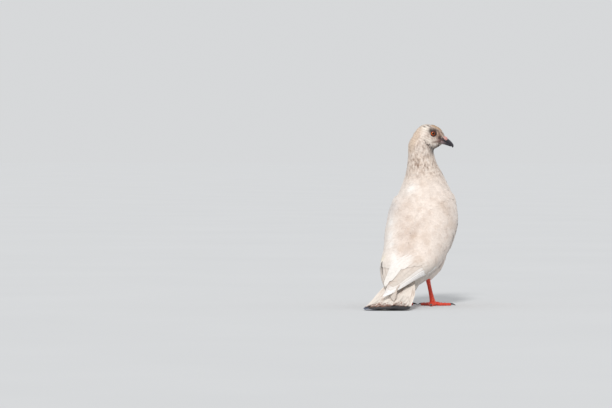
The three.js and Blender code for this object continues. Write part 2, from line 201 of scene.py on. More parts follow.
UPPER_BILL = stations(
    (29.3, 0, -5.2, 0.5, 0.7, 0.7), (27.6, 0, -3.8, 1.3, 1.9, 1.2), (24, 0, -2.4, 2.1, 2.6, 1.4),
    (19, 0, -1.6, 3.2, 3.3, 1.9), (14, 0, -1.2, 5, 4, 2.2), (10, 0, -1, 6.4, 4.2, 2.2),
)
LOWER_BILL = stations(
    (26.4, 0, -5, 0.7, 1.1, 0.5), (23.5, 0, -4.7, 1.7, 1.9, 1), (18.5, 0, -4.6, 2.9, 2.6, 1.6),
    (13.5, 0, -4.9, 4.8, 3.2, 2.4), (9.5, 0, -5, 6.2, 3.2, 2.9),
)
HEAD = yaw(-72 * DEG) @ pitch(24 * DEG)
EYE_MIDPOINT = at(36.4, -13.3, 207)
EYE_RADIUS = 4.3
EYE_OUT = 7.1  # from the middle of the head to the middle of an eyeball
IRIS = 2.75
LID = 4.1

SIDES = {"left": 1, "right": -1}
WING = dict(
    lift=4.2, edge=1.1, tip_lift=2.2, cross_start=0.56, cross=9, raise_=1.6, drop=2.9,
)
TAIL = dict(
    feathers=12, width=24, fan=11 * DEG, root_spread=14, tip_spread=32, stack=0.42, skew=3.5,
    root=at(-46, 0, 40), bend=at(-87, 0, 12), tip=at(-134, 0, 2.3),
)
ANKLE = (-8, 19, 34)
FOOT = (4, 22, 5)
TOES = (  # the direction, length, radius and joints of each
    (172 * DEG, 15, 1.9, 1), (-58 * DEG, 19, 2.1, 2), (2 * DEG, 27, 2.3, 3), (60 * DEG, 22, 2.1, 4),
)


def eye_middle():
    boxes = [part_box("eye_left"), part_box("eye_right")]
    return np.array([sum(corner[i] for pair in boxes for corner in pair) / 4 for i in range(3)])


SHIFT = eye_middle() / MM - EYE_MIDPOINT  # from the bird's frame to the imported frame


def from_head(local):
    """Points given in the head's frame, as (left, -forward, up), in the bird's frame."""
    return EYE_MIDPOINT + np.asarray(local) @ HEAD.T


def in_head(points):
    """How far points are forward along the bill and up, from the middle between the eyes."""
    local = (np.asarray(points) - EYE_MIDPOINT) @ HEAD
    return -local[..., 1], local[..., 2]


# ---- Markings: one colour for each place on the bird, shared by the skin and the coat ----

CREAM = srgb(234, 221, 211)
WHITE = srgb(248, 244, 239)
FAWN = srgb(198, 174, 154)
# the grey of the painted shade on the low underparts
UNDER_SHADE = srgb(196, 192, 184)
SMUDGE = srgb(150, 118, 96)
NECK = srgb(224, 206, 191)
NECK_DARK = srgb(138, 112, 96)
FACE = srgb(140, 110, 94)
CROWN = srgb(186, 148, 106)
BAND = srgb(242, 232, 220)
DARK = srgb(46, 34, 32)
SMUDGES = (  # forward, left, up, radius and strength of the brown clouds on the back and shoulder
    (-23.9, -11.3, 98.9, 5.5, 0.5), (-30.2, -5.7, 89.4, 6, 0.45), (-32.1, 8.7, 85.8, 4.5, 0.4),
    (-18.1, 3.9, 107, 4, 0.45), (-19.3, -17.5, 104.8, 3.6, 0.35), (9, -42, 114, 4.5, 0.24),
    (12, -40, 120, 4, 0.15), (-44, -9, 72, 4.5, 0.22), (-10, -22, 110, 5, 0.2),
)
FOLD = (  # a shallow shaded fold down the back, where the left wing meets it
    (-8, 9, 120), (-17, 8, 108), (-25.5, 5.5, 96.5), (-33, 2.5, 84.5), (-41, -0.5, 73), (-52, -4, 61.5),
)
WING_HIGHLIGHTS = (  # forward, left, up and radius of the painted highlights on the left wing, its whitest places
    (-11, 27, 101, 7), (-25, 23, 85.5, 6), (-36, 18, 75, 6), (-46, 13, 65, 6.5), (-55, 9, 57, 7),
    (-64, 6, 50, 7),
)
FACE_MARKS = (  # colour, strength, forward, up and half sizes of the dark marks round the eye and bill
    (DARK, 0.9, -12.6, 3.4, 1.7, 0.9), (DARK, 0.8, -8.6, 6.2, 2.2, 0.8),
    (DARK, 0.95, -4.6, 2, 2.2, 3.2), (DARK, 0.6, 1.5, 5.2, 4.5, 1.5),
    (DARK, 0.95, 10.2, -2, 3.6, 1.5),
    (srgb(112, 74, 74), 0.95, 12.2, -4.8, 4.2, 2.7), (srgb(88, 60, 62), 0.95, 14, -2.6, 2.4, 2.2),
    (DARK, 0.8, 12, -7.6, 1.8, 0.9),
)


def wing_shadow(forward, left, up):
    """How near places are to the dark line under the outer edge of the right wing."""
    heights = (39, 43.5, 48, 52.7, 61, 73, 82.6)
    f = np.interp(up, heights, (-21, -8, -1, 6, 8, 8.4, 15.5))
    x = np.interp(up, heights, (-26.7, -29.4, -32.5, -34.4, -38.2, -43, -44.9))
    apart = (forward - f) ** 2 + (left - x) ** 2
    return np.exp(-apart / 4.5) * smooth(up, 35, 41) * smooth(up, 92, 80)


def cloud(points, place, radius):
    """1 at a place, and less and less beyond a radius."""
    return bell(np.linalg.norm(points - at(*place), axis=-1), radius)


def marking(points):
    """The plumage's colour at points in the bird's frame, in linear light."""
    p = np.asarray(points, float)
    a, n = in_head(p)
    forward, left, up = -p[..., 1], p[..., 0], p[..., 2]
    speck, blotch, fine = noise3(p, 2.6, 1), noise3(p, 13, 2), noise3(p, 5.5, 3)
    c = np.broadcast_to(CREAM, p.shape).copy()

    def lay(colour, weight):
        nonlocal c
        c = tinge(c, colour, np.clip(weight, 0, 1))

    lay(FAWN, 0.34 * smooth(blotch, 0.5, 0.85) + 0.22 * smooth(fine, 0.55, 0.9))
    # painted light: the bird's left side whiter, the side that faces the sun
    lay(WHITE, 0.35 * smooth(left, 6, 36) * smooth(up, 190, 130))
    # painted shade: the low underparts and vent greyer, as they lie in shade under the body
    lay(UNDER_SHADE, 0.7 * smooth(up, 62, 36) * smooth(forward, 20, -30))
    for *place, radius, strength in SMUDGES:
        lay(SMUDGE, strength * cloud(p, place, radius) * (0.45 + 0.9 * fine))
    fold = sum(cloud(p, place, 7.5) for place in FOLD)
    lay(srgb(196, 174, 160), 0.4 * np.clip(fold, 0, 1) * (0.6 + 0.6 * fine))
    # painted shade: a bluish grey over the left shoulder
    lay(srgb(212, 206, 206), 0.45 * cloud(p, (2, 30, 118), 14))
    # painted highlights on the left wing
    light = sum(cloud(p, place, radius) for *place, radius in WING_HIGHLIGHTS)
    lay(srgb(252, 250, 247), 0.6 * np.clip(light, 0, 1))
    lay(srgb(196, 172, 154), 0.3 * smooth(noise3(p, 3.6, 11), 0.52, 0.85) * smooth(up, 150, 130))
    lay(srgb(84, 78, 86), 0.55 * wing_shadow(forward, left, up))
    # a painted highlight: a small cream spot above the dark mark on the left wing's edge
    lay(srgb(252, 242, 214), 0.6 * cloud(p, (-43, 28, 58), 5))

    neck = smooth(up, 138, 172)
    lay(NECK, 0.85 * neck)
    streak = noise3(p * np.array([1, 1, 0.42]), 1.35, 8)
    lay(NECK_DARK, neck * (0.46 * smooth(speck, 0.5, 0.8) + 0.62 * smooth(streak, 0.54, 0.75)))
    lay(srgb(248, 238, 228), neck * 0.65 * smooth(streak, 0.46, 0.24))
    # a painted highlight: a white spot at the base of the neck, on its left
    lay(WHITE, 0.8 * cloud(p, (7.7, 6, 141.4), 7))

    head = smooth(up, 178, 187)
    face = head * near(a, n, 8, 1.5, 5.5, 6.5)
    grain = noise3(p, 1.5, 7)
    lay(CREAM, 0.6 * head * (1 - 0.5 * speck))
    lay(FACE, 0.95 * face + 0.5 * head * near(a, n, 0, 5, 6, 3))
    lay(srgb(206, 176, 158), face * smooth(grain, 0.42, 0.2))
    lay(srgb(74, 56, 48), 0.8 * face * smooth(grain, 0.6, 0.8))
    lay(CROWN, head * 0.8 * smooth(n, 6, 8.5) * smooth(a, -8, -3))
    lay(srgb(212, 186, 160), head * 0.6 * smooth(a, -10, -18))
    lay(BAND, head * 0.95 * near(a, n, -10.5, 2, 4.6, 4.4))
    lay(BAND, head * 0.75 * near(a, n, -1, -9.6, 7, 3))
    bars = smooth(np.sin(n * 2.1 + 1.5 * speck), 0.2, 1)
    lay(NECK_DARK, head * 0.45 * bars * smooth(a, 4, -4) * grain)
    for colour, strength, *oval in FACE_MARKS:
        lay(colour, head * strength * near(a, n, *oval))
    gape = bell(n + 6.2 + 0.55 * (10 - a), 1.3) * smooth(a, 0, 6)
    lay(srgb(104, 76, 66), head * 0.75 * gape)
    jaw = bell(n + 14.6 + 0.25 * (a + 1), 2.6) * smooth(a, -9, -5) * smooth(a, 9, 5)
    flecks = noise3(p, 1.3, 4)
    lay(CREAM, head * jaw * 0.45 * smooth(flecks, 0.48, 0.36))
    lay(DARK, head * jaw * 0.92 * smooth(flecks, 0.49, 0.6))
    lay(NECK_DARK, head * 0.5 * near(a, n, 2, -19, 7, 4) * smooth(streak, 0.3, 0.6))
    # a dark patch under the chin: partly a dark mark, partly painted shadow under the jaw
    lay(DARK, smooth(up, 174, 184) * 0.98 * near(a, n, 9.2, -17.8, 4.6, 5.4))
    # a painted highlight on the cheek, below the base of the bill
    lay(WHITE, head * 0.6 * near(a, n, 8.2, -11.2, 1.8, 1.1))
    lay(DARK, head * 0.95 * near(a, n, 12.2, -10.6, 2, 2.2))
    return c


# ---- Meshes ----


def read(items, key, width, kind=np.float32):
    """A value of each item of a mesh, as rows."""
    values = np.zeros(len(items) * width, kind)
    items.foreach_get(key, values)
    return values.reshape(-1, width)


def packed(points):
    """Points from the bird's frame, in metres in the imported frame, in one row."""
    return ((points + SHIFT) * MM).astype(np.float32).ravel()


def add_tint(mesh, tint):
    """Gives each point its colour, in linear light."""
    tint = np.asarray(tint, np.float32)
    rows = np.concatenate([tint, np.ones((len(tint), 1), np.float32)], 1)
    mesh.attributes.new("tint", "FLOAT_COLOR", "POINT").data.foreach_set("color", rows.ravel())


def add_vane(mesh, vane):
    """Gives each point its coordinates on its own feather or shell, which the materials use."""
    rows = np.asarray(vane, np.float32)
    mesh.attributes.new("vane", "FLOAT_VECTOR", "POINT").data.foreach_set("vector", rows.ravel())


def place(name, mesh, material, slot, replaces=()):
    obj = bpy.data.objects.new(name, mesh)
    bpy.context.scene.collection.objects.link(obj)
    mesh.materials.clear()
    mesh.materials.append(material)
    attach(obj, "root")
    if replaces:
        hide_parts(*replaces)


def grid_quads(grid):
    """The quads between the neighbours in a grid of point numbers."""
    return np.stack([grid[:-1, :-1], grid[:-1, 1:], grid[1:, 1:], grid[1:, :-1]], -1).reshape(-1, 4)


def mesh_of(name, points, quads, tris=np.zeros((0, 3), int)):
    """A mesh from points in the bird's frame and arrays of quads and triangles."""
    mesh = bpy.data.meshes.new(name)
    mesh.vertices.add(len(points))
    mesh.vertices.foreach_set("co", packed(points))
    loops = np.concatenate([quads.ravel(), tris.ravel()]).astype(np.int32)
    starts = np.concatenate([
        np.arange(len(quads)) * 4, len(quads) * 4 + np.arange(len(tris)) * 3
    ]).astype(np.int32)
    mesh.loops.add(len(loops))
    mesh.loops.foreach_set("vertex_index", loops)
    mesh.polygons.add(len(starts))
    mesh.polygons.foreach_set("loop_start", starts)
    mesh.update(calc_edges=True)
    mesh.validate()
    mesh.polygons.foreach_set("use_smooth", np.ones(len(mesh.polygons), bool))
    return mesh


def raised(centre, side, top, x, rise):
    """Points beside and above each place on a line, by distances x and rise for each."""
    return centre[:, None] + side[:, None] * x[..., None] + top[:, None] * rise[..., None]


def sharpen_rims(mesh, rim):
    """Marks the edges along the rims of thin leaves sharp, so that each face keeps its own shading."""
    pairs = read(mesh.edges, "vertices", 2, np.int32)
    layer = mesh.attributes.get("sharp_edge") or mesh.attributes.new("sharp_edge", "BOOLEAN", "EDGE")
    layer.data.foreach_set("value", rim[pairs[:, 0]] & rim[pairs[:, 1]])
    mesh.update()


def loop_uv(mesh, name, uv):
    """Gives a mesh a UV map from one place for each vertex."""
    index = read(mesh.loops, "vertex_index", 1, np.int32)[:, 0]
    layer = mesh.uv_layers.new(name=name)
    layer.data.foreach_set("uv", np.asarray(uv, np.float32)[index].ravel())


# ---- Leaves: thin closed blades, used for every vane and flight feather ----


def leaf(rows, columns):
    """The quads of one leaf, and which of its points are on its rim. The points of its upper grid
    come first, then the inner points of its lower grid."""
    upper, inner = rows * columns, (rows - 2) * (columns - 2)
    top = np.arange(upper).reshape(rows, columns)
    low = top.copy()
    low[1:-1, 1:-1] = upper + np.arange(inner).reshape(rows - 2, -1)
    edge = np.ones((rows, columns), bool)
    edge[1:-1, 1:-1] = False
    rim = np.concatenate([edge.ravel(), np.zeros(inner, bool)])
    return np.concatenate([grid_quads(top), grid_quads(low)[:, ::-1]]), rim


def leaves(top, normal, thickness, tint, vane, uv):
    """Many like leaves. top is (count, rows, columns, 3), as are its companions."""
    count, rows, columns = top.shape[:3]
    quads, rim = leaf(rows, columns)
    under = top[:, 1:-1, 1:-1] - normal[:, 1:-1, 1:-1] * np.asarray(thickness)[:, None, None, None]

    def both(upper, lower=None):
        lower = upper[:, 1:-1, 1:-1] if lower is None else lower
        width = upper.shape[-1]
        return np.concatenate([upper.reshape(count, -1, width), lower.reshape(count, -1, width)], 1)

    points = both(top, under)
    offsets = (np.arange(count) * points.shape[1])[:, None, None]
    return dict(
        points=points.reshape(-1, 3),
        quads=(quads[None] + offsets).reshape(-1, 4),
        rim=np.tile(rim, count),
        tint=both(tint).reshape(-1, 3),
        vane=both(vane).reshape(-1, 3),
        uv=both(uv).reshape(-1, 2),
    )


def leaf_object(name, sets, material, slot, replaces=()):
    """One piece from several sets of leaves."""
    starts = np.cumsum([0] + [len(one["points"]) for one in sets])
    quads = np.concatenate([one["quads"] + start for one, start in zip(sets, starts)])
    points, rim, tint, vane, uv = (
        np.concatenate([one[key] for one in sets]) for key in ("points", "rim", "tint", "vane", "uv")
    )
    mesh = mesh_of(name, points, quads)
    add_tint(mesh, tint)
    add_vane(mesh, vane)
    sharpen_rims(mesh, rim)
    loop_uv(mesh, "OFBake", uv)
    place(name, mesh, material, slot, replaces)


# ---- Materials ----


def material(name, **values):
    """A node material and its Principled shader, with the values that are the same all over."""
    made = bpy.data.materials.new(name)
    made.use_nodes = True
    shader = next(n for n in made.node_tree.nodes if n.type == "BSDF_PRINCIPLED")
    for key, value in values.items():
        shader.inputs[key.replace("_", " ")].default_value = value
    return made, made.node_tree, shader


def node(tree, kind, **settings):
    made = tree.nodes.new("ShaderNode" + kind)
    for key, value in settings.items():
        setattr(made, key, value)
    return made


def feed(tree, sockets, values):
    """Sets each socket to a number or a colour, or links it to the output of another node."""
    for socket, value in zip(sockets, values):
        if isinstance(value, (int, float)):
            socket.default_value = value
        elif isinstance(value, tuple):
            socket.default_value = (*value, 1)
        else:
            tree.links.new(value, socket)


def math_node(tree, operation, *values):
    made = node(tree, "Math", operation=operation)
    feed(tree, made.inputs, values)
    return made.outputs[0]


def mix_node(tree, factor, first, second, blend="MIX"):
    made = node(tree, "Mix", data_type="RGBA", blend_type=blend)
    feed(tree, (made.inputs[0], made.inputs[6], made.inputs[7]), (factor, first, second))
    return made.outputs[2]


def bump_node(tree, shader, height, distance):
    bump = node(tree, "Bump")
    bump.inputs["Distance"].default_value = distance
    tree.links.new(height, bump.inputs["Height"])
    tree.links.new(bump.outputs[0], shader.inputs["Normal"])


def noise_node(tree, scale, detail=3.0, roughness=0.55, vector=None):
    made = node(tree, "TexNoise")
    if vector is None:
        vector = node(tree, "TexCoord").outputs["Object"]
    sockets = [made.inputs[key] for key in ("Scale", "Detail", "Roughness", "Vector")]
    feed(tree, sockets, (scale, detail, roughness, vector))
    return made.outputs["Fac"]


def range_node(tree, value, low, high, out_low=0.0, out_high=1.0):
    made = node(tree, "MapRange")
    feed(tree, made.inputs, (value, low, high, out_low, out_high))
    return made.outputs[0]


def attribute(tree, name, kind):
    return node(tree, "Attribute", attribute_name=name).outputs[kind]


def dimmed(tree, colour, shade):
    """A colour times a shade of grey."""
    grey = node(tree, "CombineColor")
    feed(tree, grey.inputs, (shade, shade, shade))
    return mix_node(tree, 1.0, colour, grey.outputs[0], "MULTIPLY")


def feather_material(name, barbs, slant, depth, shaft):
    """Plumage coloured by the tint of each vane, with barbs that slant out from its shaft."""
    made, tree, shader = material(
        name, Roughness=0.72, Sheen_Weight=0.25, Sheen_Roughness=0.45, Specular_IOR_Level=0.25,
    )
    tint = attribute(tree, "tint", "Color")
    vane = attribute(tree, "vane", "Vector")
    split = node(tree, "SeparateXYZ")
    tree.links.new(vane, split.inputs[0])
    across, along = split.outputs[:2]
    side = math_node(tree, "ABSOLUTE", across)
    wave = math_node(tree, "MULTIPLY_ADD", along, barbs, math_node(tree, "MULTIPLY", side, -slant))
    wave = math_node(tree, "ADD", wave, math_node(tree, "MULTIPLY", noise_node(tree, 500.0, 2.0), 2.0))
    ripple = range_node(tree, math_node(tree, "SINE", wave), -1.0, 1.0)
    rachis = range_node(tree, side, 0.0, shaft, 1.0, 0.0)
    dim = range_node(tree, noise_node(tree, 420.0, 4.0), 0.3, 0.75, 0.9, 1.05)
    shade = math_node(tree, "MULTIPLY", dim, range_node(tree, ripple, 0.0, 1.0, 0.95, 1.02))
    colour = dimmed(tree, tint, shade)
    quill = mix_node(tree, 1.0, tint, (0.9, 0.86, 0.82), "MULTIPLY")
    colour = mix_node(tree, math_node(tree, "MULTIPLY", rachis, 0.4), colour, quill)
    tree.links.new(colour, shader.inputs["Base Color"])
    bump_node(tree, shader, math_node(tree, "MULTIPLY_ADD", rachis, 0.9, ripple), depth)
    return made


small_vane = feather_material("plumage_small", 50.0, 8.0, 0.00002, 0.1)
body_vane = feather_material("plumage_body", 140.0, 30.0, 0.00003, 0.05)
flight_vane = feather_material("plumage_flight", 950.0, 90.0, 0.00003, 0.025)


def skin_material():
    made, tree, shader = material("skin_down", Roughness=0.85, Sheen_Weight=0.2, Specular_IOR_Level=0.2)
    tint = attribute(tree, "tint", "Color")
    down = noise_node(tree, 1400.0, 5.0, 0.7)
    shade = range_node(tree, down, 0.3, 0.8, 0.78, 1.0)
    tree.links.new(dimmed(tree, tint, shade), shader.inputs["Base Color"])
    bump_node(tree, shader, down, 0.0003)
    return made


# ---- Skin: one closed surface inside the solids of flesh, a coat's depth below them ----

FLESH = (
    "head", "neck", "trunk", "rump", "undertail_coverts", "thigh_left", "thigh_right",
    "wing_left_coverts", "wing_right_coverts",
)
GROWN = 0.35  # how far each solid is swollen first, so that the cuts between them close
VOXEL = 1.2  # the size of the voxels that the skin is remeshed with


def swollen(names):
    whole = bmesh.new()
    for name in names:
        piece = bmesh.new()
        piece.from_mesh(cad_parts[name].data)
        bmesh.ops.remove_doubles(piece, verts=piece.verts, dist=1e-5)
        piece.normal_update()
        for vert in piece.verts:
            vert.co += vert.normal * GROWN * MM
        made = bpy.data.meshes.new("swollen_" + name)
        piece.to_mesh(made)
        piece.free()
        whole.from_mesh(made)
        bpy.data.meshes.remove(made)
    mesh = bpy.data.meshes.new("swollen")
    whole.to_mesh(mesh)
    whole.free()
    return mesh


def remeshed(mesh, rounds):
    """One surface round all of a mesh, smoothed a number of times."""
    obj = bpy.data.objects.new("source", mesh)
    bpy.context.scene.collection.objects.link(obj)
    remesh = obj.modifiers.new("remesh", "REMESH")
    remesh.mode = "VOXEL"
    remesh.voxel_size = VOXEL * MM
    relax = obj.modifiers.new("relax", "SMOOTH")
    relax.factor = 0.5
    relax.iterations = rounds
    graph = bpy.context.evaluated_depsgraph_get()
    made = bpy.data.meshes.new_from_object(obj.evaluated_get(graph))
    bpy.data.objects.remove(obj)
    return made


def coordinates(mesh):
    return read(mesh.vertices, "co", 3).astype(float) / MM - SHIFT


def normals(mesh):
    return read(mesh.vertex_normals, "vector", 3).astype(float)


def wing_angles(hand, s):
    """The angles round the cloak of a folded wing's lower and upper edges."""
    front = smooth(s, 0.02, 0.19)
    low = -4 - 28 * front + 18 * smooth(s, 0.14, 0.5) + 10 * smooth(s, 0.5, 0.75)
    past = (12 if hand > 0 else 18) * smooth(s, WING["cross_start"], 0.7)
    high = 14 + 42 * front + 30 * smooth(s, 0.1, 0.36) + past
    return low * DEG, high * DEG


def wing_curve(hand, s, share, proud, below):
    s, share, proud = alike(s, share, proud)
    low, high = wing_angles(hand, s)
    body = mix(WING["edge"], WING["lift"], smooth(s, 0.02, 0.24))
    lift = mix(body, WING["tip_lift"], smooth(s, 0.35, 0.8))
    arch = np.sin(np.pi * np.clip(share, 0, 1)) ** 0.6
    outer = mix(WING["edge"], lift, arch * (1 - 0.5 * smooth(s, 0.86, 1))) + proud
    angle = mix(low - below, high, share)
    turned = angle if hand > 0 else np.pi - angle
    moved = oval_points(CLOAK, s, turned, outer)
    moved[..., 0] -= hand * WING["cross"] * smooth(s, WING["cross_start"], 1)
    rise = -WING["drop"] if hand > 0 else WING["raise_"]
    moved[..., 2] += rise * smooth(s, WING["cross_start"], 0.74)
    return moved


def wing_surface(hand, s, share, proud=0.0, below=0.0):
    """The outer face of a folded wing: s runs from the bend to the tip, share from its lower edge up.
    It flattens towards the tip, where the blades lie on one another."""
    curved = wing_curve(hand, s, share, proud, below)
    low, high = (wing_curve(hand, s, end, proud, below) for end in (0.0, 1.0))
    flat = mix(low, high, np.asarray(share, float)[..., None])
    return mix(curved, flat, (0.85 * smooth(s, 0.7, 0.95))[..., None])


def head_share(points):
    """1 on the head and 0 on the neck, changing over a slanted cut under the jaw."""
    rise = (points - at(33, -2, 187)) @ unit(at(-0.2, -0.06, 0.978))
    return smooth(rise, -6, 7)


def coat_depth(points, below_skin=False):
    """How thick the coat is. Below the skin of the nape and crown the solids are also a little full."""
    head = head_share(points)
    a, n = in_head(points)
    depth = mix(1.75, 1.3, smooth(points[:, 2], 135, 175))
    depth = mix(depth, 0.8, head)
    if below_skin:
        hollow = 2 * near(a, n, -19, -5, 9, 9) + 0.7 * near(a, n, -6, 11, 8, 6)
        depth = depth + hollow * smooth(head, 0, 0.6) * smooth(a, -2, -9)
        depth = depth - 1.1 * head * near(a, n, 9, 9, 5, 5)
    depth = mix(depth, 0.35, head * smooth(a, 2, 11))
    depth = depth + 1.3 * head * near(a, n, 14, -3.5, 4.5, 3.5)
    if not below_skin:
        depth = depth + 0.55 * head * near(a, n, 6, 10, 7, 4)
    return mix(depth, 0.9, smooth(points[:, 2], 46, 34) * smooth(-points[:, 1], -30, -22))


skin_mesh = remeshed(swollen(FLESH), rounds=7)
skin_points = coordinates(skin_mesh)
skin_points -= normals(skin_mesh) * (coat_depth(skin_points, True) + GROWN)[:, None]
skin_mesh.vertices.foreach_set("co", packed(skin_points))
skin_mesh.update()
skin_normals = normals(skin_mesh)
skin_faces = read(skin_mesh.loops, "vertex_index", 1, np.int32).reshape(-1, 4)
skin_edges = read(skin_mesh.edges, "vertices", 2, np.int32)
skin_tree = BVHTree.FromPolygons(skin_points.tolist(), skin_faces.tolist())
skin_mesh.polygons.foreach_set("use_smooth", np.ones(len(skin_mesh.polygons), bool))
add_tint(skin_mesh, marking(skin_points) * 0.9)
skin_mesh.name = "skin"
place("skin", skin_mesh, skin_material(), "body_plumage", FLESH)


def onto_skin(points):
    """The nearest places on the skin, with their normals."""
    flat = points.reshape(-1, 3)
    spot, normal = np.empty_like(flat), np.empty_like(flat)
    find = skin_tree.find_nearest
    for i, p in enumerate(flat.tolist()):
        spot[i], normal[i], _, _ = find(p)
    return spot.reshape(points.shape), normal.reshape(points.shape)


# ---- The lie of the coat: a direction at each place on the skin ----

SPINE_T = np.linspace(0, 1, 260)
SPINE = catmull(BODY[0], SPINE_T)
SPINE_ALONG = tangent(BODY[0], SPINE_T)
CHUNK = 8000  # how many places are compared with the spine at a time
BY_WING = 2.9  # skin this near to a wing's samples lies under its coverts
EVENING = 24  # how many times the lie is averaged with that of its neighbours


def spine_place(points):
    """The index of the nearest place on the spine."""
    parts = (points[start : start + CHUNK] for start in range(0, len(points), CHUNK))
    return np.concatenate([((part[:, None] - SPINE[None]) ** 2).sum(-1).argmin(1) for part in parts])


def tangential(vectors, normal):
    return unit(vectors - normal * (vectors * normal).sum(-1, keepdims=True))


def wing_samples():
    """Points over both wings' coverts, with the way that their feathers lie."""
    points, ways = [], []
    s, share = np.meshgrid(np.linspace(0.05, 0.46, 60), np.linspace(0.06, 0.94, 36), indexing="ij")
    for hand in SIDES.values():
        here = wing_surface(hand, s, share, 0.8)
        points.append(here.reshape(-1, 3))
        ways.append(unit(wing_surface(hand, s + 0.01, share, 0.8) - here).reshape(-1, 3))
    return np.concatenate(points), np.concatenate(ways)


def neighbour_sums(values):
    """For each point of the skin, the sum of a value over the points that an edge joins to it."""
    i, j = skin_edges.T
    return np.bincount(i, values[j], len(values)) + np.bincount(j, values[i], len(values))


def lie_of_coat():
    """Which way the feathers lie at each point of the skin, and which points are under a wing: down
    the spine, back along the head, down the legs, with the wing and away from the eyes."""
    backward = -(at(1, 0, 0) @ HEAD.T)
    head = head_share(skin_points)
    a, n = in_head(skin_points)
    lie = SPINE_ALONG[spine_place(skin_points)]
    droop = 0.75 * smooth(n, -1, -14) + 1.6 * smooth(a, -7, -20)
    lie = mix(lie, unit(backward + droop[:, None] * np.array([0, 0, -1.0])), head[:, None])
    samples, ways = wing_samples()
    wings = KDTree(len(samples))
    for i, p in enumerate(samples.tolist()):
        wings.insert(p, i)
    wings.balance()
    on_wing = np.zeros(len(skin_points), bool)
    for i, p in enumerate(skin_points.tolist()):
        if 60 < p[2] < 150 or p[1] > -20:
            _, index, distance = wings.find(p)
            if distance < BY_WING:
                lie[i] = ways[index]
                on_wing[i] = True
    x, y, z = skin_points.T
    legs = smooth(z, 52, 40) * (y < 22) * (np.abs(x) < 30)
    lie = mix(lie, unit(at(-0.35, 0, -0.94)), legs[:, None])
    for hand in SIDES.values():
        away = skin_points - from_head((hand * EYE_OUT, 0, 0))
        push = bell(np.linalg.norm(away, axis=1), 7.5) * 1.7
        lie = lie + unit(away) * push[:, None]
    lie = tangential(lie, skin_normals)
    held = on_wing[:, None] * 0.5
    first = lie
    degree = neighbour_sums(np.ones(len(lie)))[:, None]
    for _ in range(EVENING):
        total = np.stack([neighbour_sums(lie[:, k]) for k in range(3)], 1)
        lie = tangential(mix(total / np.maximum(degree, 1), first, held), skin_normals)
    return lie, on_wing


skin_lie, skin_on_wing = lie_of_coat()


# ---- Contour feathers: where they are rooted, and how each one lies ----

PATCH = 0.003  # how large each small feather is on the bake map
TRIES = 9  # how many roots are tried for each one that finds room
OFFSETS = (-1, 0, 1)
CUBE = [(i, j, k) for i in OFFSETS for j in OFFSETS for k in OFFSETS]


def vane_length(points):
    """How long a feather is at each place, in millimetres."""
    a, n = in_head(points)
    up, forward = points[:, 2], -points[:, 1]
    length = mix(14.5, 6.5, smooth(up, 140, 182))
    length = mix(length, 17.5, smooth(forward, -5, -45))
    length = mix(length, 9, smooth(up, 50, 38) * smooth(forward, -24, -16))
    small = mix(1.9, 4.7, smooth(a, 9, -15)) * (1 - 0.3 * bell(np.hypot(a, n) - 4.4, 1.5))
    return mix(length, small, head_share(points))


def seats(weights, share):
    """Evenly strewn roots on the skin, as places, normals and directions. weights picks the region,
    and no two roots are closer together than a share of a feather's length."""
    corners = skin_points[skin_faces]
    diagonals = corners[:, 2] - corners[:, 0], corners[:, 3] - corners[:, 1]
    area = np.linalg.norm(np.cross(*diagonals), axis=1) / 2
    gap = vane_length(corners.mean(1)) * share
    chance = area / gap**2 * weights[skin_faces].mean(1)
    count = int(chance.sum() * TRIES)
    face = rng.choice(len(chance), count, p=chance / chance.sum())
    x, y = rng.random((2, count, 1))
    c = corners[face]
    spots = mix(mix(c[:, 0], c[:, 1], x), mix(c[:, 3], c[:, 2], x), y)
    gaps = vane_length(spots) * share
    keys = np.floor(spots / gaps.max()).astype(int).tolist()
    grid, kept = {}, []
    for index, (p, gap, key) in enumerate(zip(spots.tolist(), (gaps**2).tolist(), keys)):
        others = (
            q for i, j, k in CUBE for q in grid.get((key[0] + i, key[1] + j, key[2] + k), ())
        )
        if not any(
            (p[0] - q[0]) ** 2 + (p[1] - q[1]) ** 2 + (p[2] - q[2]) ** 2 < gap for q in others
        ):
            grid.setdefault(tuple(key), []).append(p)
            kept.append(index)
    face = skin_faces[face[kept]]
    normal = unit(skin_normals[face].mean(1))
    return spots[kept], normal, tangential(skin_lie[face].mean(1), normal)


def unwrap(points):
    """Places from 0 to 1 on an unwrap of the skin: round the spine and along it."""
    t = SPINE_T[spine_place(points)]
    centre, across, back, _ = oval_frame(BODY, t)
    d = points - centre
    angle = np.arctan2((d * back).sum(-1), (d * across).sum(-1))
    return np.stack([angle / (2 * np.pi) + 0.5, 0.06 + 0.88 * t], -1)


def unwrap_head(points):
    """Places from 0 to 1 on an unwrap of the head: round the line of the bill and along it."""
    a, n = in_head(points)
    angle = np.arctan2(n + 5, ((points - EYE_MIDPOINT) @ HEAD)[..., 0])
    return np.stack([angle / (2 * np.pi) + 0.5, np.clip((a + 24) / 44, 0, 1)], -1) * 0.94 + 0.03


def blade(rows, columns):
    """Places across and along a small feather, the rows closer together towards its tip."""
    v = 1 - (1 - np.linspace(0, 1, rows)) ** 1.35
    return np.linspace(-1, 1, columns)[None, None, :], v[None, :, None]


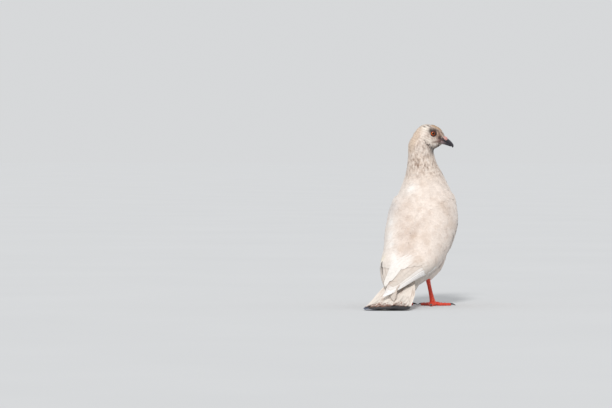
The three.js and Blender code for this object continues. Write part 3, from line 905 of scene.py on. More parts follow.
def coat_leaves(top, normal, thick, u, v, middle, blend, uneven, pale, bar, seat):
    """Leaves of the coat, each with a shade of its own, a pale rim, a dark bar inside it and a dim
    root. The pale rim and the dim root are also painted light and shade: the tip lighter, the root
    darker where it lies under the vanes above. pale is the rim's strength, bow and start, bar the
    bar's strength, place and width."""
    count = len(top)
    base = mix(middle, marking(top), blend) * rng.uniform(*uneven, (count, 1, 1, 1))
    rim = pale[0] * smooth(v + pale[1] * u**2, pale[2], 1.02)
    # painted light and shade: the tip lighter, the root darker where it lies under the vanes above
    edge = rim - bar[0] * bell(v - bar[1], bar[2]) - 0.05 * smooth(v, 0.55, 0)
    tint = np.clip(base * (1 + edge)[..., None], 0, 1)
    which = rng.random((count, 1, 1))
    vane = np.broadcast_to(joined(u, v + which * 3, which), top.shape)
    patch = joined(u * PATCH / 2, (v - 0.5) * PATCH)
    return leaves(top, normal, np.full(count, thick), tint, vane, seat[:, None, None] + patch)


def vanes(
    roots, normal, lie, length, rows=8, columns=7, slim=0.27, pull=0.12, blunt=0.6, camber=0.1,
    thick=0.06, lift=1.02, dip=0.25, blend=0.7, unwrapped=unwrap, uneven=(0.96, 1.03), wander=0.09,
    fray=0.01,
):
    """Leaves that lie along the skin from their roots, each tip a coat's depth above it."""
    count = len(roots)
    slim, pull, blunt = (np.broadcast_to(each, count)[:, None, None] for each in (slim, pull, blunt))
    lie = unit(lie + np.cross(normal, lie) * rng.normal(0, wander, (count, 1)))
    side = np.cross(normal, lie)
    length = length * rng.uniform(0.88, 1.12, count)
    u, v = blade(rows, columns)
    along = v * (1 - pull * np.abs(u) ** 2 * v**2)
    along = along + rng.normal(0, fray, (count, rows, columns)) * smooth(v, 0.7, 1) - 0.02
    round_ = np.sqrt(1 - (1 - blunt**2) * (np.clip(v - 0.5, 0, 1) / 0.5) ** 2)
    half = slim * mix(0.5, 1, smooth(v, 0, 0.45)) * round_
    size = length[:, None, None]
    flat = (
        roots[:, None, None]
        + lie[:, None, None] * (along * size)[..., None]
        + side[:, None, None] * (u * half * size)[..., None]
    )
    spot, up = onto_skin(flat)
    up = unit(mix(up, normal[:, None, None], 0.35))
    depth = coat_depth(flat.reshape(-1, 3)).reshape(flat.shape[:-1])
    ride = rng.normal(0, 0.05, (count, 1, 1))
    roll = rng.normal(0, 0.02, (count, 1, 1)) * u * half * size
    rise = mix(0.4, 1, v**1.15) * (1 - dip * smooth(v, 0.72, 1))
    height = depth * lift * (0.97 + ride) * rise
    height = height + camber * slim * size * (1 - u**2) * (0.25 + 0.75 * v) * 0.5 + roll * v
    middle = marking(roots + lie * (length * 0.55)[:, None])[:, None, None]
    return coat_leaves(
        spot + up * height[..., None], up, thick, u, v, middle, blend, uneven, (0.05, 0.12, 0.86),
        (0.05, 0.8, 0.1), unwrapped(roots),
    )


def coat(zones, seated, length, looks, slot, **shape):
    """A piece of vanes for each zone of the roots."""
    for name, part in zones:
        own = {
            key: value[part] if isinstance(value, np.ndarray) else value for key, value in shape.items()
        }
        made = vanes(*(each[part] for each in (*seated, length)), **own)
        leaf_object(name, [made], looks, slot)


def clear_of(spots, names, distance):
    """Which places are farther than a distance from all of the named CAD nodes."""
    far = np.ones(len(spots), bool)
    for name in names:
        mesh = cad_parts[name].data
        faces = [list(p.vertices) for p in mesh.polygons]
        tree = BVHTree.FromPolygons(coordinates(mesh).tolist(), faces)
        for i in np.flatnonzero(far).tolist():
            far[i] = tree.find_nearest(spots[i].tolist(), distance)[0] is None
    return far


def beside_eyes(roots, lie, length):
    """Which feathers keep clear of the bare ring round either eye."""
    clear = np.ones(len(roots), bool)
    for hand in SIDES.values():
        out = np.array([hand, 0, 0]) @ HEAD.T
        centre = EYE_MIDPOINT + out * EYE_OUT
        for reach in (0.0, 0.5, 1.0):
            d = roots + lie * (length * reach)[:, None] - centre
            beside = np.linalg.norm(d - out * (d @ out)[:, None], axis=1)
            clear &= ~((beside < LID - 0.25 + 0.4 * (reach == 0)) & (d @ out > 0))
    return clear


skin_head = head_share(skin_points)
skin_up = skin_points[:, 2]
off_wing = ~skin_on_wing
for _ in range(4):  # the body's feathers go a few steps in under the wing's
    off_wing = off_wing | (neighbour_sums(off_wing) > 0)

seated = seats((skin_head > 0.5).astype(float), 0.235)
length = vane_length(seated[0])
a, n = in_head(seated[0])
gape = (a > 12.5) & (n > -6.5) & (n < 0.5)
keep = clear_of(seated[0], ("bill_upper", "bill_lower", "cere"), 0.35)
keep &= beside_eyes(seated[0], seated[2], length) & ~gape
seated, length, a = [each[keep] for each in seated], length[keep], a[keep]
zones = (
    ("coat_face", a > 3.5), ("coat_cheeks_crown", (a <= 3.5) & (a > -7)), ("coat_nape", a <= -7),
)
coat(
    zones, seated, length, small_vane, "face_plumage", rows=6, columns=5, slim=0.22, pull=0.15,
    blunt=0.55, thick=0.05, dip=0.27, unwrapped=unwrap_head, wander=0.13, lift=1.05, blend=0.6,
    fray=0.03, uneven=(0.92, 1.05),
)

seated = seats(((skin_head <= 0.5) & (skin_up > 140) & off_wing).astype(float), 0.185)
up = seated[0][:, 2]
low = smooth(up, 172, 146)
zones = ("coat_neck_upper", up > 157), ("coat_neck_lower", up <= 157)
coat(
    zones, seated, vane_length(seated[0]) * 1.1, body_vane, "neck_plumage", slim=mix(0.2, 0.29, low),
    pull=mix(0.16, 0.12, low), blunt=mix(0.5, 0.6, low), wander=0.1, fray=0.012, uneven=(0.92, 1.04),
    blend=0.6, dip=0.26,
)

seated = seats(((skin_up <= 142) & off_wing & (skin_head < 0.1)).astype(float), 0.215)
back = seated[1][:, 2] * 0.75 - seated[1][:, 1] * 0.2 > 0.2
breast = ~back & (seated[0][:, 1] < -12)
zones = ("coat_back", back), ("coat_breast", breast), ("coat_belly", ~back & ~breast)
coat(zones, seated, vane_length(seated[0]), body_vane, "body_plumage", slim=0.34, wander=0.06)


# ---- Wing coverts: rows that overlap like tiles, from the bend back ----

COVERTS = (0.03, 0.545)  # where along a wing the first row and the last are rooted
WING_LENGTH = 200
ROW_GAP, SIDE_GAP = 0.17, 0.2  # between rows and between neighbours, in feather lengths

def surface_steps(surface, s, share, d):
    """How a surface of two places changes over two steps d of each."""
    return surface(s + d, share) - surface(s - d, share), surface(s, share + d) - surface(s, share - d)


def surface_normal(surface, s, share, outside):
    """Outward normals of a surface that is a function of two places."""
    n = unit(np.cross(*surface_steps(surface, s, share, 1e-3)))
    return n * np.where((n * outside).sum(-1, keepdims=True) < 0, -1, 1)


def wing_coverts(hand):
    def surface(s, share, proud=0.0):
        return wing_surface(hand, s, share, proud)

    starts, shares, lengths = [], [], []
    s, row = COVERTS[0], 0
    while s < COVERTS[1]:
        length = mix(7.5, 25, smooth(s, 0.04, 0.45))
        line = surface(s, np.linspace(0, 1, 60))
        reach = np.linalg.norm(np.diff(line, axis=0), axis=1).sum()
        count = int(reach / (length * SIDE_GAP))
        share = -0.01 + 1.02 * (np.arange(count) + (0.25 if row % 2 else 0.75)) / count
        starts.append(s + 0.012 * (share - 0.5) + rng.normal(0, 0.00014 * length, count))
        shares.append(share + rng.normal(0, 0.25 / count, count))
        lengths.append(np.full(count, length))
        s += length * ROW_GAP / WING_LENGTH
        row += 1
    start, share, length = (np.concatenate(each) for each in (starts, shares, lengths))
    count, rows, columns = len(start), 10, 7
    size = (length * rng.uniform(0.9, 1.1, count))[:, None, None]
    d = 0.004
    along_mm, across_mm = (  # how many millimetres one unit of s and one unit of share are worth
        (np.linalg.norm(step, axis=-1) / (2 * d))[:, None, None]
        for step in surface_steps(surface, np.clip(start, 0.02, 1), share, d)
    )
    u, v = blade(rows, columns)
    half = 0.3 * size * mix(0.5, 1, smooth(v, 0, 0.45))
    half = half * np.sqrt(1 - 0.68 * (np.clip(v - 0.5, 0, 1) / 0.5) ** 2)
    turn = rng.normal(0, 0.035, (count, 1, 1))
    frayed = rng.normal(0, 0.008, (count, rows, columns)) * smooth(v, 0.7, 1)
    along = v * (1 - 0.14 * u**2 * v**2) + frayed
    s = start[:, None, None] + along * size / along_mm
    where = share[:, None, None] + (u * half + turn * along * size) / across_mm
    ride = rng.normal(0, 0.03, (count, 1, 1))
    proud = -1.15 + (1.25 + ride) * v**1.2 * (1 - 0.25 * smooth(v, 0.72, 1)) + 0.14 * (1 - u**2)
    tuck = (smooth(where, 0.9, 1.0) + smooth(where, 0.08, 0.0)) * (1 - smooth(s, 0.28, 0.42))
    top = surface(s, where, proud - 1.3 * tuck)
    normal = surface_normal(surface, s, where, top - catmull(CLOAK[0], s))
    return coat_leaves(
        top, normal, 0.08, u, v, marking(top[:, 5:6, 3:4]), 0.7, (0.97, 1.02), (0.04, 0.1, 0.88),
        (0.045, 0.83, 0.08), np.stack([0.03 + 0.94 * share, 0.04 + 1.65 * start], -1),
    )


for side, hand in SIDES.items():
    leaf_object("coat_wing_" + side, [wing_coverts(hand)], body_vane, "wing_plumage")


# ---- Flight feathers ----

STEP = 2.4  # how far each feather dips below its neighbour, in millimetres for a whole wing's width
SHAFT = 0.24  # how far the shaft is from the outer edge, as a share of a feather's width
PRIMARIES = (  # where each starts across the wing, and ends along it
    (0, 0.985), (0.055, 1.0), (0.11, 0.972), (0.17, 0.938), (0.25, 0.9), (0.36, 0.862), (0.5, 0.824),
    (0.66, 0.786),
)
SECONDARIES = 10
SECONDARY_TIPS = {  # where they end along each wing, by the place across it
    1: ((0, 0.2, 0.4, 0.6, 0.8, 1), (0.605, 0.62, 0.66, 0.695, 0.705, 0.69)),
    -1: (
        (0, 0.2, 0.3, 0.4, 0.5, 0.65, 0.75, 0.85, 1),
        (0.54, 0.575, 0.61, 0.655, 0.69, 0.725, 0.83, 0.88, 0.87),
    ),
}
WHITE_EDGES = (1.0, 1.0, 0.95, 0.8, 0.45)  # how white the outermost primaries of the right wing are


def bake_cell(index, across, along, count):
    """A cell of its own on the bake map for one large feather."""
    columns = math.ceil(math.sqrt(count))
    inset = 0.04
    u = (index % columns + inset + (1 - 2 * inset) * across) / columns
    v = (index // columns + inset + (1 - 2 * inset) * along) / columns
    return joined(u, v)


def flight_leaf(surface, s0, s1, out, inn, base, colour, cell, rows=40, columns=13, round_=0.12):
    """One flight feather on a wing. Its outer edge lies at share out, its inner edge at share inn."""
    tau = (1 - (1 - np.linspace(0, 1, rows)) ** 1.25)[:, None]
    c = (np.linspace(0, 1, columns) ** 1.8)[None, :]  # closer together at the outer edge
    close = np.clip((tau - (1 - round_)) / round_, 0, 1)
    across = SHAFT + (c - SHAFT) * np.sqrt(np.clip(1 - close**2, 0.02, 1))
    tau = tau + 0 * c
    s = s0 + (s1 - s0) * tau
    share = mix(out, inn, across)
    ridge = 0.08 * bell(across - SHAFT, 0.03)
    proud = base(s) - STEP * across * (inn - out) + ridge - 0.15 * close**2
    top = surface(s, share, proud)
    normal = surface_normal(surface, s, share, top - catmull(CLOAK[0], s))
    u = (across - SHAFT) / np.where(across < SHAFT, SHAFT, 1 - SHAFT)
    tint, vane = colour(tau, across, top), joined(u, tau, 0.0)
    uv = bake_cell(cell[0], across, tau, cell[1])
    return leaves(top[None], normal[None], [0.2], tint[None], vane[None], uv[None])


def wing_flight(hand):
    sets = []
    total = len(PRIMARIES) + SECONDARIES
    tick_top, tick_low = at(-47, 26.5, 52.5), at(-62, 21.5, 40.5)

    def surface(below):
        return lambda s, share, proud=0.0: wing_surface(hand, s, share, proud, below)

    def with_tick(colour, spots):
        """The dark mark on the outer edge of the left wing, where its coverts end."""
        way = tick_low - tick_top
        along = np.clip((spots - tick_top) @ way / (way @ way), 0, 1)
        apart = np.linalg.norm(spots - mix(tick_top, tick_low, along[..., None]), axis=-1)
        mark = smooth(apart, 2.8 - 1.2 * along, 1.2 - 0.7 * along)
        return tinge(colour, srgb(52, 38, 35), 0.88 * mark * (hand > 0))

    def primary_tint(tau, across, spots):
        dusk = 0.9 if hand > 0 else 0.3
        c = mix(mix(marking(spots), srgb(216, 198, 184), 0.35), srgb(253, 252, 250), white)
        # a thin dark line along each primary's outer edge: painted shadow where it overlaps the one
        # outside it, and on the left wing also its own dark edge marks
        outer = 0.85 * smooth(across, 0.022, 0.004) * max(white, dusk)
        c = tinge(c, srgb(138, 112, 96), outer)
        c = tinge(c, srgb(170, 146, 132), 0.3 * smooth(across, 0.4, 0.8))
        return with_tick(tinge(c, srgb(150, 114, 92), 0.3 * smooth(tau, 0.975, 1)), spots)

    for i, (out, tip) in enumerate(PRIMARIES):
        white = WHITE_EDGES[i] if i < len(WHITE_EDGES) and hand < 0 else 0.05
        sets.append(flight_leaf(
            surface(5 * DEG), 0.5, tip, out, min(1.0, out + 0.62), lambda s: -0.5, primary_tint,
            (i, total), round_=0.13,
        ))

    def secondary_tint(tau, across, spots):
        pale = marking(spots)
        if hand < 0 and j > 5:
            # painted light: the right wing's inner tertials whiter towards the bird's left, where the
            # back is brightly lit
            return tinge(pale, srgb(252, 249, 245), 0.6 * smooth(spots[..., 0], -18, -7))
        c = tinge(pale, srgb(218, 200, 186), 0.2 * smooth(across, 0.12, 0.5))
        c = with_tick(c, spots)
        if hand > 0 and j < 3:
            return tinge(c, srgb(66, 46, 38), 0.92 * smooth(tau, 0.93, 0.985))
        return tinge(c, srgb(120, 88, 70), 0.6 * smooth(tau, 0.985, 1))

    for j in range(SECONDARIES):
        out = 0.1 * j
        tip = np.interp(out + 0.05, *SECONDARY_TIPS[hand])
        over = 0.05 if hand < 0 and j > 6 else 0
        sets.append(flight_leaf(
            surface(0.0), 0.4, tip, out, min(1.0, out + 0.45) + over,
            lambda s: mix(-1.1, 0.15, smooth(s, 0.5, 0.62)), secondary_tint,
            (len(PRIMARIES) + j, total), rows=30, round_=0.09,
        ))
    return sets


for side, hand in SIDES.items():
    leaf_object(
        "flight_feathers_" + side, wing_flight(hand), flight_vane, "flight_feather",
        ("wing_%s_secondaries" % side, "wing_%s_primaries" % side),
    )


# ---- Tail ----

BAND_DARK = srgb(30, 26, 30)
BAND_BLUE = srgb(70, 82, 108)
WHITE_DOTS = (-0.3, 0.45)  # where the dots on the outermost feathers are, across each
STRANDS = 330
TAIL_GAP = 0.45  # the tail's upper face stays this far above the floor


def bezier(t):
    t = t[..., None]
    return TAIL["root"] * (1 - t) ** 2 + TAIL["bend"] * 2 * t * (1 - t) + TAIL["tip"] * t**2


def tail_frame(place, t):
    """Centre, sideways and upward directions of the feather at a place from -1 to 1 across the tail."""
    centre = bezier(t)
    centre[..., 0] += place / 2 * mix(TAIL["root_spread"], TAIL["tip_spread"], t)
    centre[..., 1] += TAIL["skew"] * place * t - abs(place) * 3 * t
    centre[..., 2] -= abs(place) * ((TAIL["feathers"] - 1) / 2) * TAIL["stack"] - 0.3
    along = unit(bezier(np.clip(t + 1e-3, 0, 1)) - bezier(np.clip(t - 1e-3, 0, 1)))
    along[..., 0] += place * math.sin(TAIL["fan"] / 2)
    along = unit(along)
    top = -unit(np.cross(np.array([1.0, 0, 0]), along))
    top = np.where(top[..., 2:] < 0, -top, top)
    return centre, unit(np.cross(along, top)), top


def tail_tone(points, across):
    """Pale with long brown streaks that run down the tail. Its cream is partly its own and partly
    painted light, lifted since the flat tail catches less of the sun.
    """
    # partly the tail's own cream, partly painted light that makes up for the flat tail catching less sun
    pale = mix(marking(points), srgb(250, 239, 228), 0.85)
    streak = noise3(joined(across, -points[..., 1] / 14, 0.0), 1.0, 5)
    return tinge(pale, srgb(166, 130, 108), 0.58 * smooth(streak, 0.5, 0.78))


def tail_leaf(index):
    """One tail feather, pale with a dark band at its end."""
    rows, columns = 36, 13
    t = 1 - (1 - np.linspace(0, 1, rows)) ** 1.2
    centre, side, top = tail_frame(2 * index / (TAIL["feathers"] - 1) - 1, t)
    half = TAIL["width"] / 2 * mix(0.6, 1, smooth(t, 0, 0.5))
    half = half * np.sqrt(np.clip(1 - np.clip((t - 0.9) / 0.1, 0, 1) ** 2, 0.05, 1))
    cc, tt = np.broadcast_arrays(np.linspace(-1, 1, columns)[None], t[:, None])
    dome = 0.42 * (1 - np.abs(cc) ** 1.5) + rng.normal(0, 0.03, (rows, columns))
    points = raised(centre, side, top, half[:, None] * cc, dome)
    points[..., 2] = np.maximum(points[..., 2], TAIL_GAP)
    tint = tinge(tail_tone(points, cc * 9 + 20 * index), BAND_DARK, smooth(tt, 0.8, 0.84))
    if index > 9:
        tint = tinge(tint, BAND_BLUE, 0.9 * smooth(tt, 0.86, 0.9))
        for spot in WHITE_DOTS:
            dot = near(cc, tt, spot, 0.965, 0.25, 0.022)
            tint = tinge(tint, WHITE, (1.3 * dot).clip(0, 1))
    normal = np.broadcast_to(top[:, None], points.shape)
    vane = joined(cc, tt, index / 12)
    uv = bake_cell(index, (cc + 1) / 2, tt, TAIL["feathers"] + 4)
    return leaves(points[None], normal[None], [0.22], tint[None], vane[None], uv[None])


def tail_strands():
    """Worn ends of pale feathers that fray into points over the dark band."""
    place = rng.uniform(-1, 1, STRANDS)
    start = rng.uniform(0.45, 0.74, STRANDS)
    end = 0.795 + 0.16 * rng.random(STRANDS) ** 0.9 - 0.035 * (place < -0.1)
    lateral = rng.uniform(-0.9, 0.9, STRANDS)
    high = rng.uniform(0, 1, STRANDS)
    v = np.linspace(0, 1, 12)
    u = np.linspace(-1, 1, 3)[None]
    out = []
    for i in range(STRANDS):
        centre, side, top = tail_frame(place[i], mix(start[i], end[i], v))
        bend = rng.normal(0, 1.8) * v**2
        half = rng.uniform(0.9, 2.0) * mix(0.5, 1, smooth(v, 0, 0.3))
        half = half * (1 - 0.95 * smooth(v, 0.5, 1.03))
        x = lateral[i] * TAIL["width"] / 2 + bend[:, None] + half[:, None] * u
        rise = -1.1 + 1.75 * smooth(v, 0, 0.3)[:, None] + 0.2 * (1 - u**2)
        rise = rise + (0.15 + 1.4 * high[i]) * smooth(v, 0.1, 1)[:, None]
        points = raised(centre, side, top, x, rise)
        tone = tail_tone(points, place[i] * 40 + lateral[i] * 9) * rng.uniform(0.9, 1.04)
        rust = mix(srgb(186, 98, 58), srgb(104, 54, 38), rng.random())
        tint = mix(tone, rust, (0.9 * smooth(v, 0.78, 0.96))[:, None, None])
        vane = joined(u, v[:, None], rng.random())
        root = np.array([0.76 + 0.1 * (place[i] + 1), 0.8 + 0.1 * (lateral[i] + 0.9)])
        patch = joined(u * PATCH / 2, v[:, None] * PATCH)
        out.append((points, np.broadcast_to(top[:, None], points.shape), tint, vane, root + patch))
    points, normal, tint, vane, uv = (np.stack(each) for each in zip(*out))
    return leaves(points, normal, np.full(STRANDS, 0.1), tint, vane, uv)


leaf_object(
    "tail_feathers", [tail_leaf(i) for i in range(TAIL["feathers"])] + [tail_strands()],
    flight_vane, "flight_feather", ("tail",),
)


# ---- Closed shells: bill, cere, eyes and legs ----


def rows_of(values, looped):
    """The values of a shell's rings, as rows, with one more for each end unless it's looped."""
    ends = () if looped else [values[k].mean(0, keepdims=True) for k in (0, -1)]
    return np.concatenate([values.reshape(-1, values.shape[-1]), *ends])


def shell(rings, looped):
    """Points, quads and triangles of a shell through rings of points (count, around, 3). Its last
    ring meets its first if it's looped, or else a point closes each end."""
    count, around = rings.shape[:2]
    grid = np.arange(count * around).reshape(count, around)
    grid = np.concatenate([grid, grid[:, :1]], 1)
    tris = np.zeros((0, 3), int)
    if looped:
        grid = np.concatenate([grid, grid[:1]])
    else:
        end = np.full(around, count * around)
        tris = np.concatenate([
            np.stack([end, grid[0, 1:], grid[0, :-1]], -1),
            np.stack([end + 1, grid[-1, :-1], grid[-1, 1:]], -1),
        ])
    points, quads = rows_of(rings, looped), grid_quads(grid)
    faces = points[np.concatenate([quads[:, :3], quads[:, [0, 2, 3]], tris])]
    if np.einsum("ij,ij->", faces[:, 0], np.cross(faces[:, 1], faces[:, 2])) < 0:  # inside out
        quads, tris = quads[:, ::-1], tris[:, ::-1]
    return points, quads, tris


def shell_object(name, shells, made_material, slot, replaces=(), looped=False, add=add_tint):
    """One piece from several closed shells, each as rings of points and of their tint or vane."""
    parts, offset = [], 0
    for rings, values in shells:
        points, quads, tris = shell(rings, looped)
        parts.append((points, quads + offset, tris + offset, rows_of(values, looped)))
        offset += len(points)
    points, quads, tris, values = (np.concatenate(each) for each in zip(*parts))
    mesh = mesh_of(name, points, quads, tris)
    add(mesh, values)
    place(name, mesh, made_material, slot, replaces)


def full_turn(count):
    return np.linspace(0, 2 * np.pi, count, endpoint=False)


def tinted_material(name, scale, low, high, depth, **values):
    """A surface coloured by its tint, mottled and pitted by a fine noise."""
    made, tree, shader = material(name, **values)
    tint = attribute(tree, "tint", "Color")
    grain = noise_node(tree, scale, 5.0, 0.6)
    shade = range_node(tree, grain, 0.3, 0.75, low, high)
    tree.links.new(dimmed(tree, tint, shade), shader.inputs["Base Color"])
    rough = shader.inputs["Roughness"]
    value = rough.default_value
    tree.links.new(range_node(tree, grain, 0.3, 0.75, value * 0.8, value * 1.2), rough)
    bump_node(tree, shader, grain, depth)
    return made


# ---- Bill and cere ----

horn = tinted_material(
    "bill_horn", 900.0, 0.7, 1.25, 0.00008, Roughness=0.36, Coat_Weight=0.2, Coat_Roughness=0.25,
)
wattle = tinted_material(
    "cere_skin", 1500.0, 0.82, 1.08, 0.0002, Roughness=0.6, Subsurface_Weight=0.12,
    Subsurface_Scale=0.001,
)
BILL_BLACK = srgb(38, 34, 42)
BILL_GREY = srgb(128, 104, 106)
BILL_FULLER = np.array([1.04, 1, 1.12])  # how much wider and taller the horn is than the loft
NOSTRIL = (18.9, 0.36)  # how far forward it is, and how high on the oval
LOBE_HALF = (2.8, 3.8, 2.5)  # half the width, length and height of each side of the cere


def bill_shell(shape, upper):
    t, angle = np.broadcast_arrays(np.linspace(0, 1, 60)[:, None], full_turn(48))
    local = oval_points(shape, t, angle)
    a, height = -local[..., 1], np.sin(angle)
    pinch = 0.0 * a
    if upper:  # the nostrils
        ahead, over = a - NOSTRIL[0], height - NOSTRIL[1]
        slit = near(ahead, over + 0.1 * ahead, 0, 0, 1.5, 0.14)
        pinch = 0.55 * (slit * (np.abs(np.cos(angle)) > 0.3))
    centre = oval_frame(shape, t[:, 0])[0][:, None]
    local = local - unit(local - centre) * (pinch + 0.05 * noise3(local, 1.1, 6))[..., None]
    local = centre + (local - centre) * BILL_FULLER
    grey = 0.85 * smooth(a, 17.5, 10) * smooth(height, 0.7, -0.4)
    tint = tinge(BILL_BLACK, BILL_GREY, grey)
    if not upper:
        tint = tinge(tint, srgb(168, 142, 142), 0.7 * smooth(a, 21, 11))
    # a painted highlight: a lighter grey line along the top of the bill
    tint = tinge(tint, srgb(92, 86, 96), 0.35 * np.exp(-((height - 0.8) ** 2) * 8))
    # painted shade: the nostril slit darkened nearly to black
    tint = tinge(tint, srgb(12, 10, 12), np.clip(pinch * 1.9, 0, 1))
    return from_head(local), tint


def cere_lobe(hand):
    theta, phi = np.linspace(0.06, np.pi - 0.06, 30)[:, None], full_turn(40)
    lengthwise = np.cos(theta) + 0 * phi
    plump = np.sin(theta) * (1 + 0.12 * lengthwise)
    fold = 1 - 0.07 * bell(lengthwise + 0.1, 0.12)
    x, y, z = LOBE_HALF
    local = joined(x * plump * np.cos(phi) * fold, -y * lengthwise, z * plump * np.sin(phi) * fold)
    local = local @ pitch(7 * DEG).T + np.array([hand * 2.4, -15.5, 0.8])
    local *= 1 + 0.012 * (noise3(local, 0.7, 8)[..., None] - 0.5)
    powder = noise3(local, 0.9, 9)
    tint = tinge(srgb(196, 140, 132), srgb(226, 190, 182), smooth(powder, 0.3, 0.85))
    low = smooth(np.sin(phi) + 0 * theta, -0.2, -0.9)
    rim = 0.7 * np.maximum(smooth(lengthwise, -0.5, -1), low)
    return from_head(local), tinge(tint, srgb(150, 98, 96), rim)


shell_object("bill_upper_horn", [bill_shell(UPPER_BILL, True)], horn, "bill_horn", ("bill_upper",))
shell_object("bill_lower_horn", [bill_shell(LOWER_BILL, False)], horn, "bill_horn", ("bill_lower",))
shell_object("cere_lobes", [cere_lobe(1), cere_lobe(-1)], wattle, "cere_skin", ("cere",))


# ---- Eyes ----

IRIS_BANDS = (  # how far out each colour of the eye is, from the pupil to the rim
    (0.0, (3, 2, 3)), (0.43, (3, 2, 3)), (0.47, (236, 132, 44)), (0.55, (212, 88, 28)),
    (0.63, (156, 44, 19)), (0.7, (80, 21, 13)), (0.77, (30, 9, 9)), (1.0, (20, 7, 8)),
)


def eye_material():
    """Bands of colour round the pupil, with fine fibres, shaded from above and in front."""
    made, tree, shader = material(
        "eye_wet", Roughness=0.25, Coat_Weight=0.15, Coat_Roughness=0.04, Specular_IOR_Level=0.2,
    )
    vane = attribute(tree, "vane", "Vector")
    split = node(tree, "SeparateXYZ")
    tree.links.new(vane, split.inputs[0])
    ring, forward, up = split.outputs
    turned = node(tree, "CombineXYZ")
    for socket, part, scale in zip(turned.inputs, (ring, forward, up), (0.6, 9.0, 9.0)):
        tree.links.new(math_node(tree, "MULTIPLY", part, scale), socket)
    fibre = noise_node(tree, 2.2, 4.0, 0.6, turned.outputs[0])
    uneven = math_node(tree, "MULTIPLY_ADD", fibre, 0.35, ring)
    ramp = node(tree, "ValToRGB")
    bands = ramp.color_ramp.elements
    while len(bands) < len(IRIS_BANDS):
        bands.new(0.5)
    for band, (spot, colour) in zip(bands, IRIS_BANDS):
        band.position = spot
        band.color = (*srgb(*colour), 1)
    tree.links.new(range_node(tree, uneven, 0.175, 3.675), ramp.inputs[0])
    # painted shade from the brow: the iris darker towards the front and the top
    brow_shade = math_node(tree, "SUBTRACT", forward, up)
    shade = math_node(
        tree, "MULTIPLY", range_node(tree, fibre, 0.3, 0.7, 0.72, 1.2),
        range_node(tree, brow_shade, -1.2, 1.2, 0.36, 1.25),
    )
    tree.links.new(dimmed(tree, ramp.outputs[0], shade), shader.inputs["Base Color"])
    bump_node(tree, shader, fibre, 0.00002)
    return made


wet = eye_material()
bare_ring = tinted_material("eye_ring_skin", 2200.0, 0.7, 1.2, 0.00012, Roughness=0.5)


def eyeball(hand):
    """A ball with a slight bulge over the iris. Its vane is the distance from the line of sight and
    the way round it."""
    phi, around = np.linspace(0.004, np.pi - 0.02, 70)[:, None], full_turn(72)
    front = phi < np.pi / 2
    ring = EYE_RADIUS * np.sin(phi) + 0 * around
    out = EYE_RADIUS * np.cos(phi) + 0.22 * bell(ring, 1.9) * front
    local = joined(hand * (EYE_OUT + out), ring * np.cos(around), ring * np.sin(around))
    return from_head(local), joined(np.where(front, ring, 9.0), np.cos(around), np.sin(around))


def eye_ring(hand):
    """The bare ring of lids round an eye, a soft roll from the ball inside to the skin outside."""
    phi, around = full_turn(26)[:, None], full_turn(90)
    inner, outer = IRIS - 0.25, LID + 0.2
    radius = (inner + outer) / 2 + (outer - inner) / 2 * np.cos(phi) + 0 * around
    warts = 0.09 * noise3(joined(np.cos(around) * 9, np.sin(around) * 9, radius * 2), 1.0, 4)
    ball = np.sqrt(np.clip(EYE_RADIUS**2 - radius**2, 0, None))
    level = mix(ball + 0.06, 3.0, smooth(radius, inner + 0.5, outer))
    above = np.sin(phi) > 0
    out = EYE_OUT + level + 0.42 * np.sin(phi) * np.where(above, 1, 1.6) + warts * above
    local = joined(hand * out, radius * np.cos(around) * 1.03, radius * np.sin(around) * 0.97)
    tone = smooth(radius, inner + 0.2, outer - 0.3).T[..., None]
    return from_head(local.transpose(1, 0, 2)), mix(srgb(40, 12, 12), srgb(66, 40, 36), tone)


for side, hand in SIDES.items():
    shell_object("eyeball_" + side, [eyeball(hand)], wet, "eye", ("eye_" + side,), add=add_vane)
    shell_object("eye_ring_" + side, [eye_ring(hand)], bare_ring, "cere_skin", looped=True)


# ---- Legs ----

leather = tinted_material(
    "leg_scutes", 1300.0, 0.8, 1.15, 0.0001, Roughness=0.42, Specular_IOR_Level=0.4,
    Subsurface_Weight=0.08, Subsurface_Scale=0.001,
)
claw_horn = tinted_material("claw_horn", 1200.0, 0.7, 1.2, 0.00005, Roughness=0.3, Coat_Weight=0.2)
RED = srgb(206, 56, 38)
RED_DARK = srgb(132, 26, 20)
# the orange-red of the painted highlights on the scales and lumps
RED_HIGHLIGHT = srgb(240, 132, 98)
SHANK = (3.2, 2.7, 2.3, 2.35, 2.7, 3.4)  # its radii from above the ankle down to the foot
PAD = np.array([4.9, 4.9, 2.9])  # half sizes of the ball of the foot
CLAW = 6.9  # the length of a claw from inside its toe
FLOOR_GAP = 0.04  # the soles stay this far above the floor


def limb(points, radii, count, around, plates, grow=0.0):
    """A round limb with scutes across its upper or front face and small scales behind."""
    t = np.linspace(0, 1, count)
    line, along = catmull(points, t), tangent(points, t)
    reference = unit(np.array([0.08, 0.05, 1.0]))
    steep = np.abs(along @ reference) > 0.9
    side = unit(np.where(
        steep[:, None], np.cross(along, np.array([0, 1.0, 0])), np.cross(along, reference)
    ))
    top = np.cross(side, along)
    size = catmull(np.array(radii, float)[:, None], t) + grow
    angle = full_turn(around)[None]
    c, s = np.cos(angle), np.sin(angle)
    saw = (t * plates)[:, None] + 0.12 * np.cos(angle * 2)
    plate = 1 - (2 * (saw - np.floor(saw)) - 1) ** 6
    front = smooth(s, -0.15, 0.35)
    scales = noise3(joined((t * plates * 2.4)[:, None], c * 3, s * 3), 1.0, 3)
    radius = size * (1 + 0.05 * (plate * front) + 0.04 * scales * (1 - front) - 0.03)
    rings = raised(line, side, top, radius * c, radius * s)
    tint = tinge(RED, RED_DARK, 0.8 * (smooth(plate, 0.55, 0.1) * front))
    # painted highlights: paler orange spots on the small scales that stand out
    return rings, tinge(tint, RED_HIGHLIGHT, 0.5 * smooth(scales, 0.5, 0.85))


